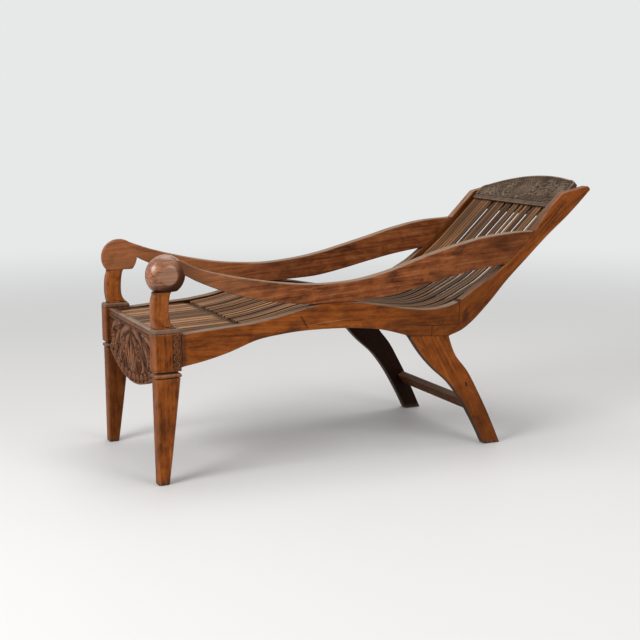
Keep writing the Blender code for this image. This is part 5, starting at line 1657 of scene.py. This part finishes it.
def turned(name, profile, sides, centre, sign, material, kept=None):
    """A piece turned about an axis across the chair. profile holds radius, way out and wear. kept is
    the range of angles in which the first edge stays sharp, because another piece carries on there."""
    points, worn = [], []
    widest = max(radius for radius, out, rubbed in profile)
    for radius, out, rubbed in profile:
        for step in range(sides):
            turn = 2 * math.pi * step / sides
            sharp = 0.0
            if kept and out < BALL_LIP:
                around = (turn - kept[0]) % (2 * math.pi)
                inside = min(around, kept[1] - kept[0] - around)
                sharp = max(0.0, min(1.0, inside / SPREAD_FADE))
            here = radius + (widest - 0.0001 - radius) * sharp
            points.append((
                centre[0] + sign * out * (1 - sharp * 0.97),
                centre[1] + here * math.cos(turn), centre[2] + here * math.sin(turn)))
            worn.append(rubbed * (1 - sharp))
    return ring_piece(name, points, sides, material, {"worn": worn})


def cut_foot(piece, level):
    """Saws the piece off level and closes it there with a flat face."""
    shape = bmesh.new()
    shape.from_mesh(piece.data)
    everything = shape.verts[:] + shape.edges[:] + shape.faces[:]
    cut = bmesh.ops.bisect_plane(
        shape, geom=everything, plane_co=(0, 0, level), plane_no=(0, 0, -1), clear_outer=True)
    rim = [item for item in cut["geom_cut"] if isinstance(item, bmesh.types.BMEdge)]
    bmesh.ops.contextual_create(shape, geom=rim)
    bmesh.ops.recalc_face_normals(shape, faces=shape.faces)
    for face in shape.faces:
        if abs(face.normal.z) > 0.999 and face.calc_center_median().z < level + 1e-4:
            face.smooth = False
    shape.to_mesh(piece.data)
    shape.free()


def arm_ball(side, sign):
    """One ball. The part of its inner side that carries on the arm takes the arm's own wood."""
    dome = math.sqrt(BALL_RADIUS ** 2 - BALL_FACET ** 2)
    profile = [(BALL_RADIUS - BALL_EDGE - 0.002, 0.0, 0.0)]
    for step in range(EDGE_STEPS + 1):
        turn = math.pi / 2 * step / EDGE_STEPS
        inset, rise = BALL_EDGE * (1 - math.sin(turn)), BALL_EDGE * (1 - math.cos(turn))
        profile.append((BALL_RADIUS - inset, rise, 0.4))
    profile.append((BALL_RADIUS, BALL_LIP, 0.1))
    for step in range(1, DOME_STEPS):
        angle = math.acos(BALL_FACET / BALL_RADIUS) * step / DOME_STEPS
        height = BALL_LIP + BALL_RADIUS * math.sin(angle) / dome * (BALL_THICKNESS - BALL_LIP)
        profile.append((BALL_RADIUS * math.cos(angle), height, 0.0))
    profile += [
        (BALL_FACET + 0.0008, BALL_THICKNESS - 0.0008, 0.3),
        (BALL_FACET - 0.0004, BALL_THICKNESS - 0.0002, 0.3),
        (BALL_FACET - 0.0016, BALL_THICKNESS, 0.0),
    ]
    centre = (sign * (BOARD_INNER - 0.00005), BALL_Y - sign * ARM_SHIFT, BALL_Z[side])
    # The dome's underside and rear side are painted dark, as painted shade; its flat is paler.
    teak_here = teak(
        f"arm_ball_teak_{side}", grain=math.radians(2), centre=(0, 0.5 - 0.5 * sign, 2 - 2 * sign),
        shades=ARM_SHADES, dust=0.3, gloss=0.22, polish=1.0, tints=(PALER_FORWARD[side],),
        figured=(0.80, 1.10, 0.12), stains=0.7, faces=(
            ((0.2 * sign, 0.45, -0.87), 0.05, 0.65, 0.95, (0.026, 0.007, 0.002)),
            ((0.55 * sign, 0.83, -0.1), 0.55, 0.90, 0.80, (0.060, 0.018, 0.006)),
            ((sign, 0, 0), 0.955, 0.995, 0.36, (0.36, 0.215, 0.140)),
        ))
    ball = turned(f"ball_{side}", profile, BALL_SIDES, centre, sign, teak_here, ARM_SPREAD)
    cut_foot(ball, POST_TOP + FIT)
    ball.data.materials.append(ARM_TEAK[side])
    for face in ball.data.polygons:
        if abs(face.center.x - centre[0]) < BALL_LIP * 0.9 and abs(face.normal.z) < 0.999:
            face.material_index = 1
    return fit(ball, "frame_wood", f"arm_{side}")


for side, sign in SIDES.items():
    arm_ball(side, sign)

# Scarf pegs
# One wooden peg, darker than the boards, is driven through each scarf of rail and stile. Its end is
# cut off just proud of their outer face.
PEG_RADIUS, PEG_SIDES = 0.0035, 20
PEG_PROFILE = (
    (PEG_RADIUS, 0.0, 0), (PEG_RADIUS, 0.0034, 0.3), (PEG_RADIUS * 0.9, 0.0038, 0.6),
    (PEG_RADIUS * 0.6, 0.0040, 0.4),
)
PEG_Y, PEG_Z, PEG_DEPTH = 1.0015, SEAT_HEIGHT - 0.0345, 0.0032
PEG_SHADES = ((0.020, 0.008, 0.005), (0.060, 0.022, 0.010), (0.110, 0.042, 0.016), (0.16, 0.07, 0.03))
PEG_TEAK = teak("peg_teak", along="x", stains=1.5, shades=PEG_SHADES)
for side, sign in SIDES.items():
    place = (sign * (BOARD_OUTER - PEG_DEPTH), PEG_Y, PEG_Z)
    peg = turned(f"peg_{side}", PEG_PROFILE, PEG_SIDES, place, sign, PEG_TEAK)
    fit(peg, "frame_wood", f"back_stile_{side}")
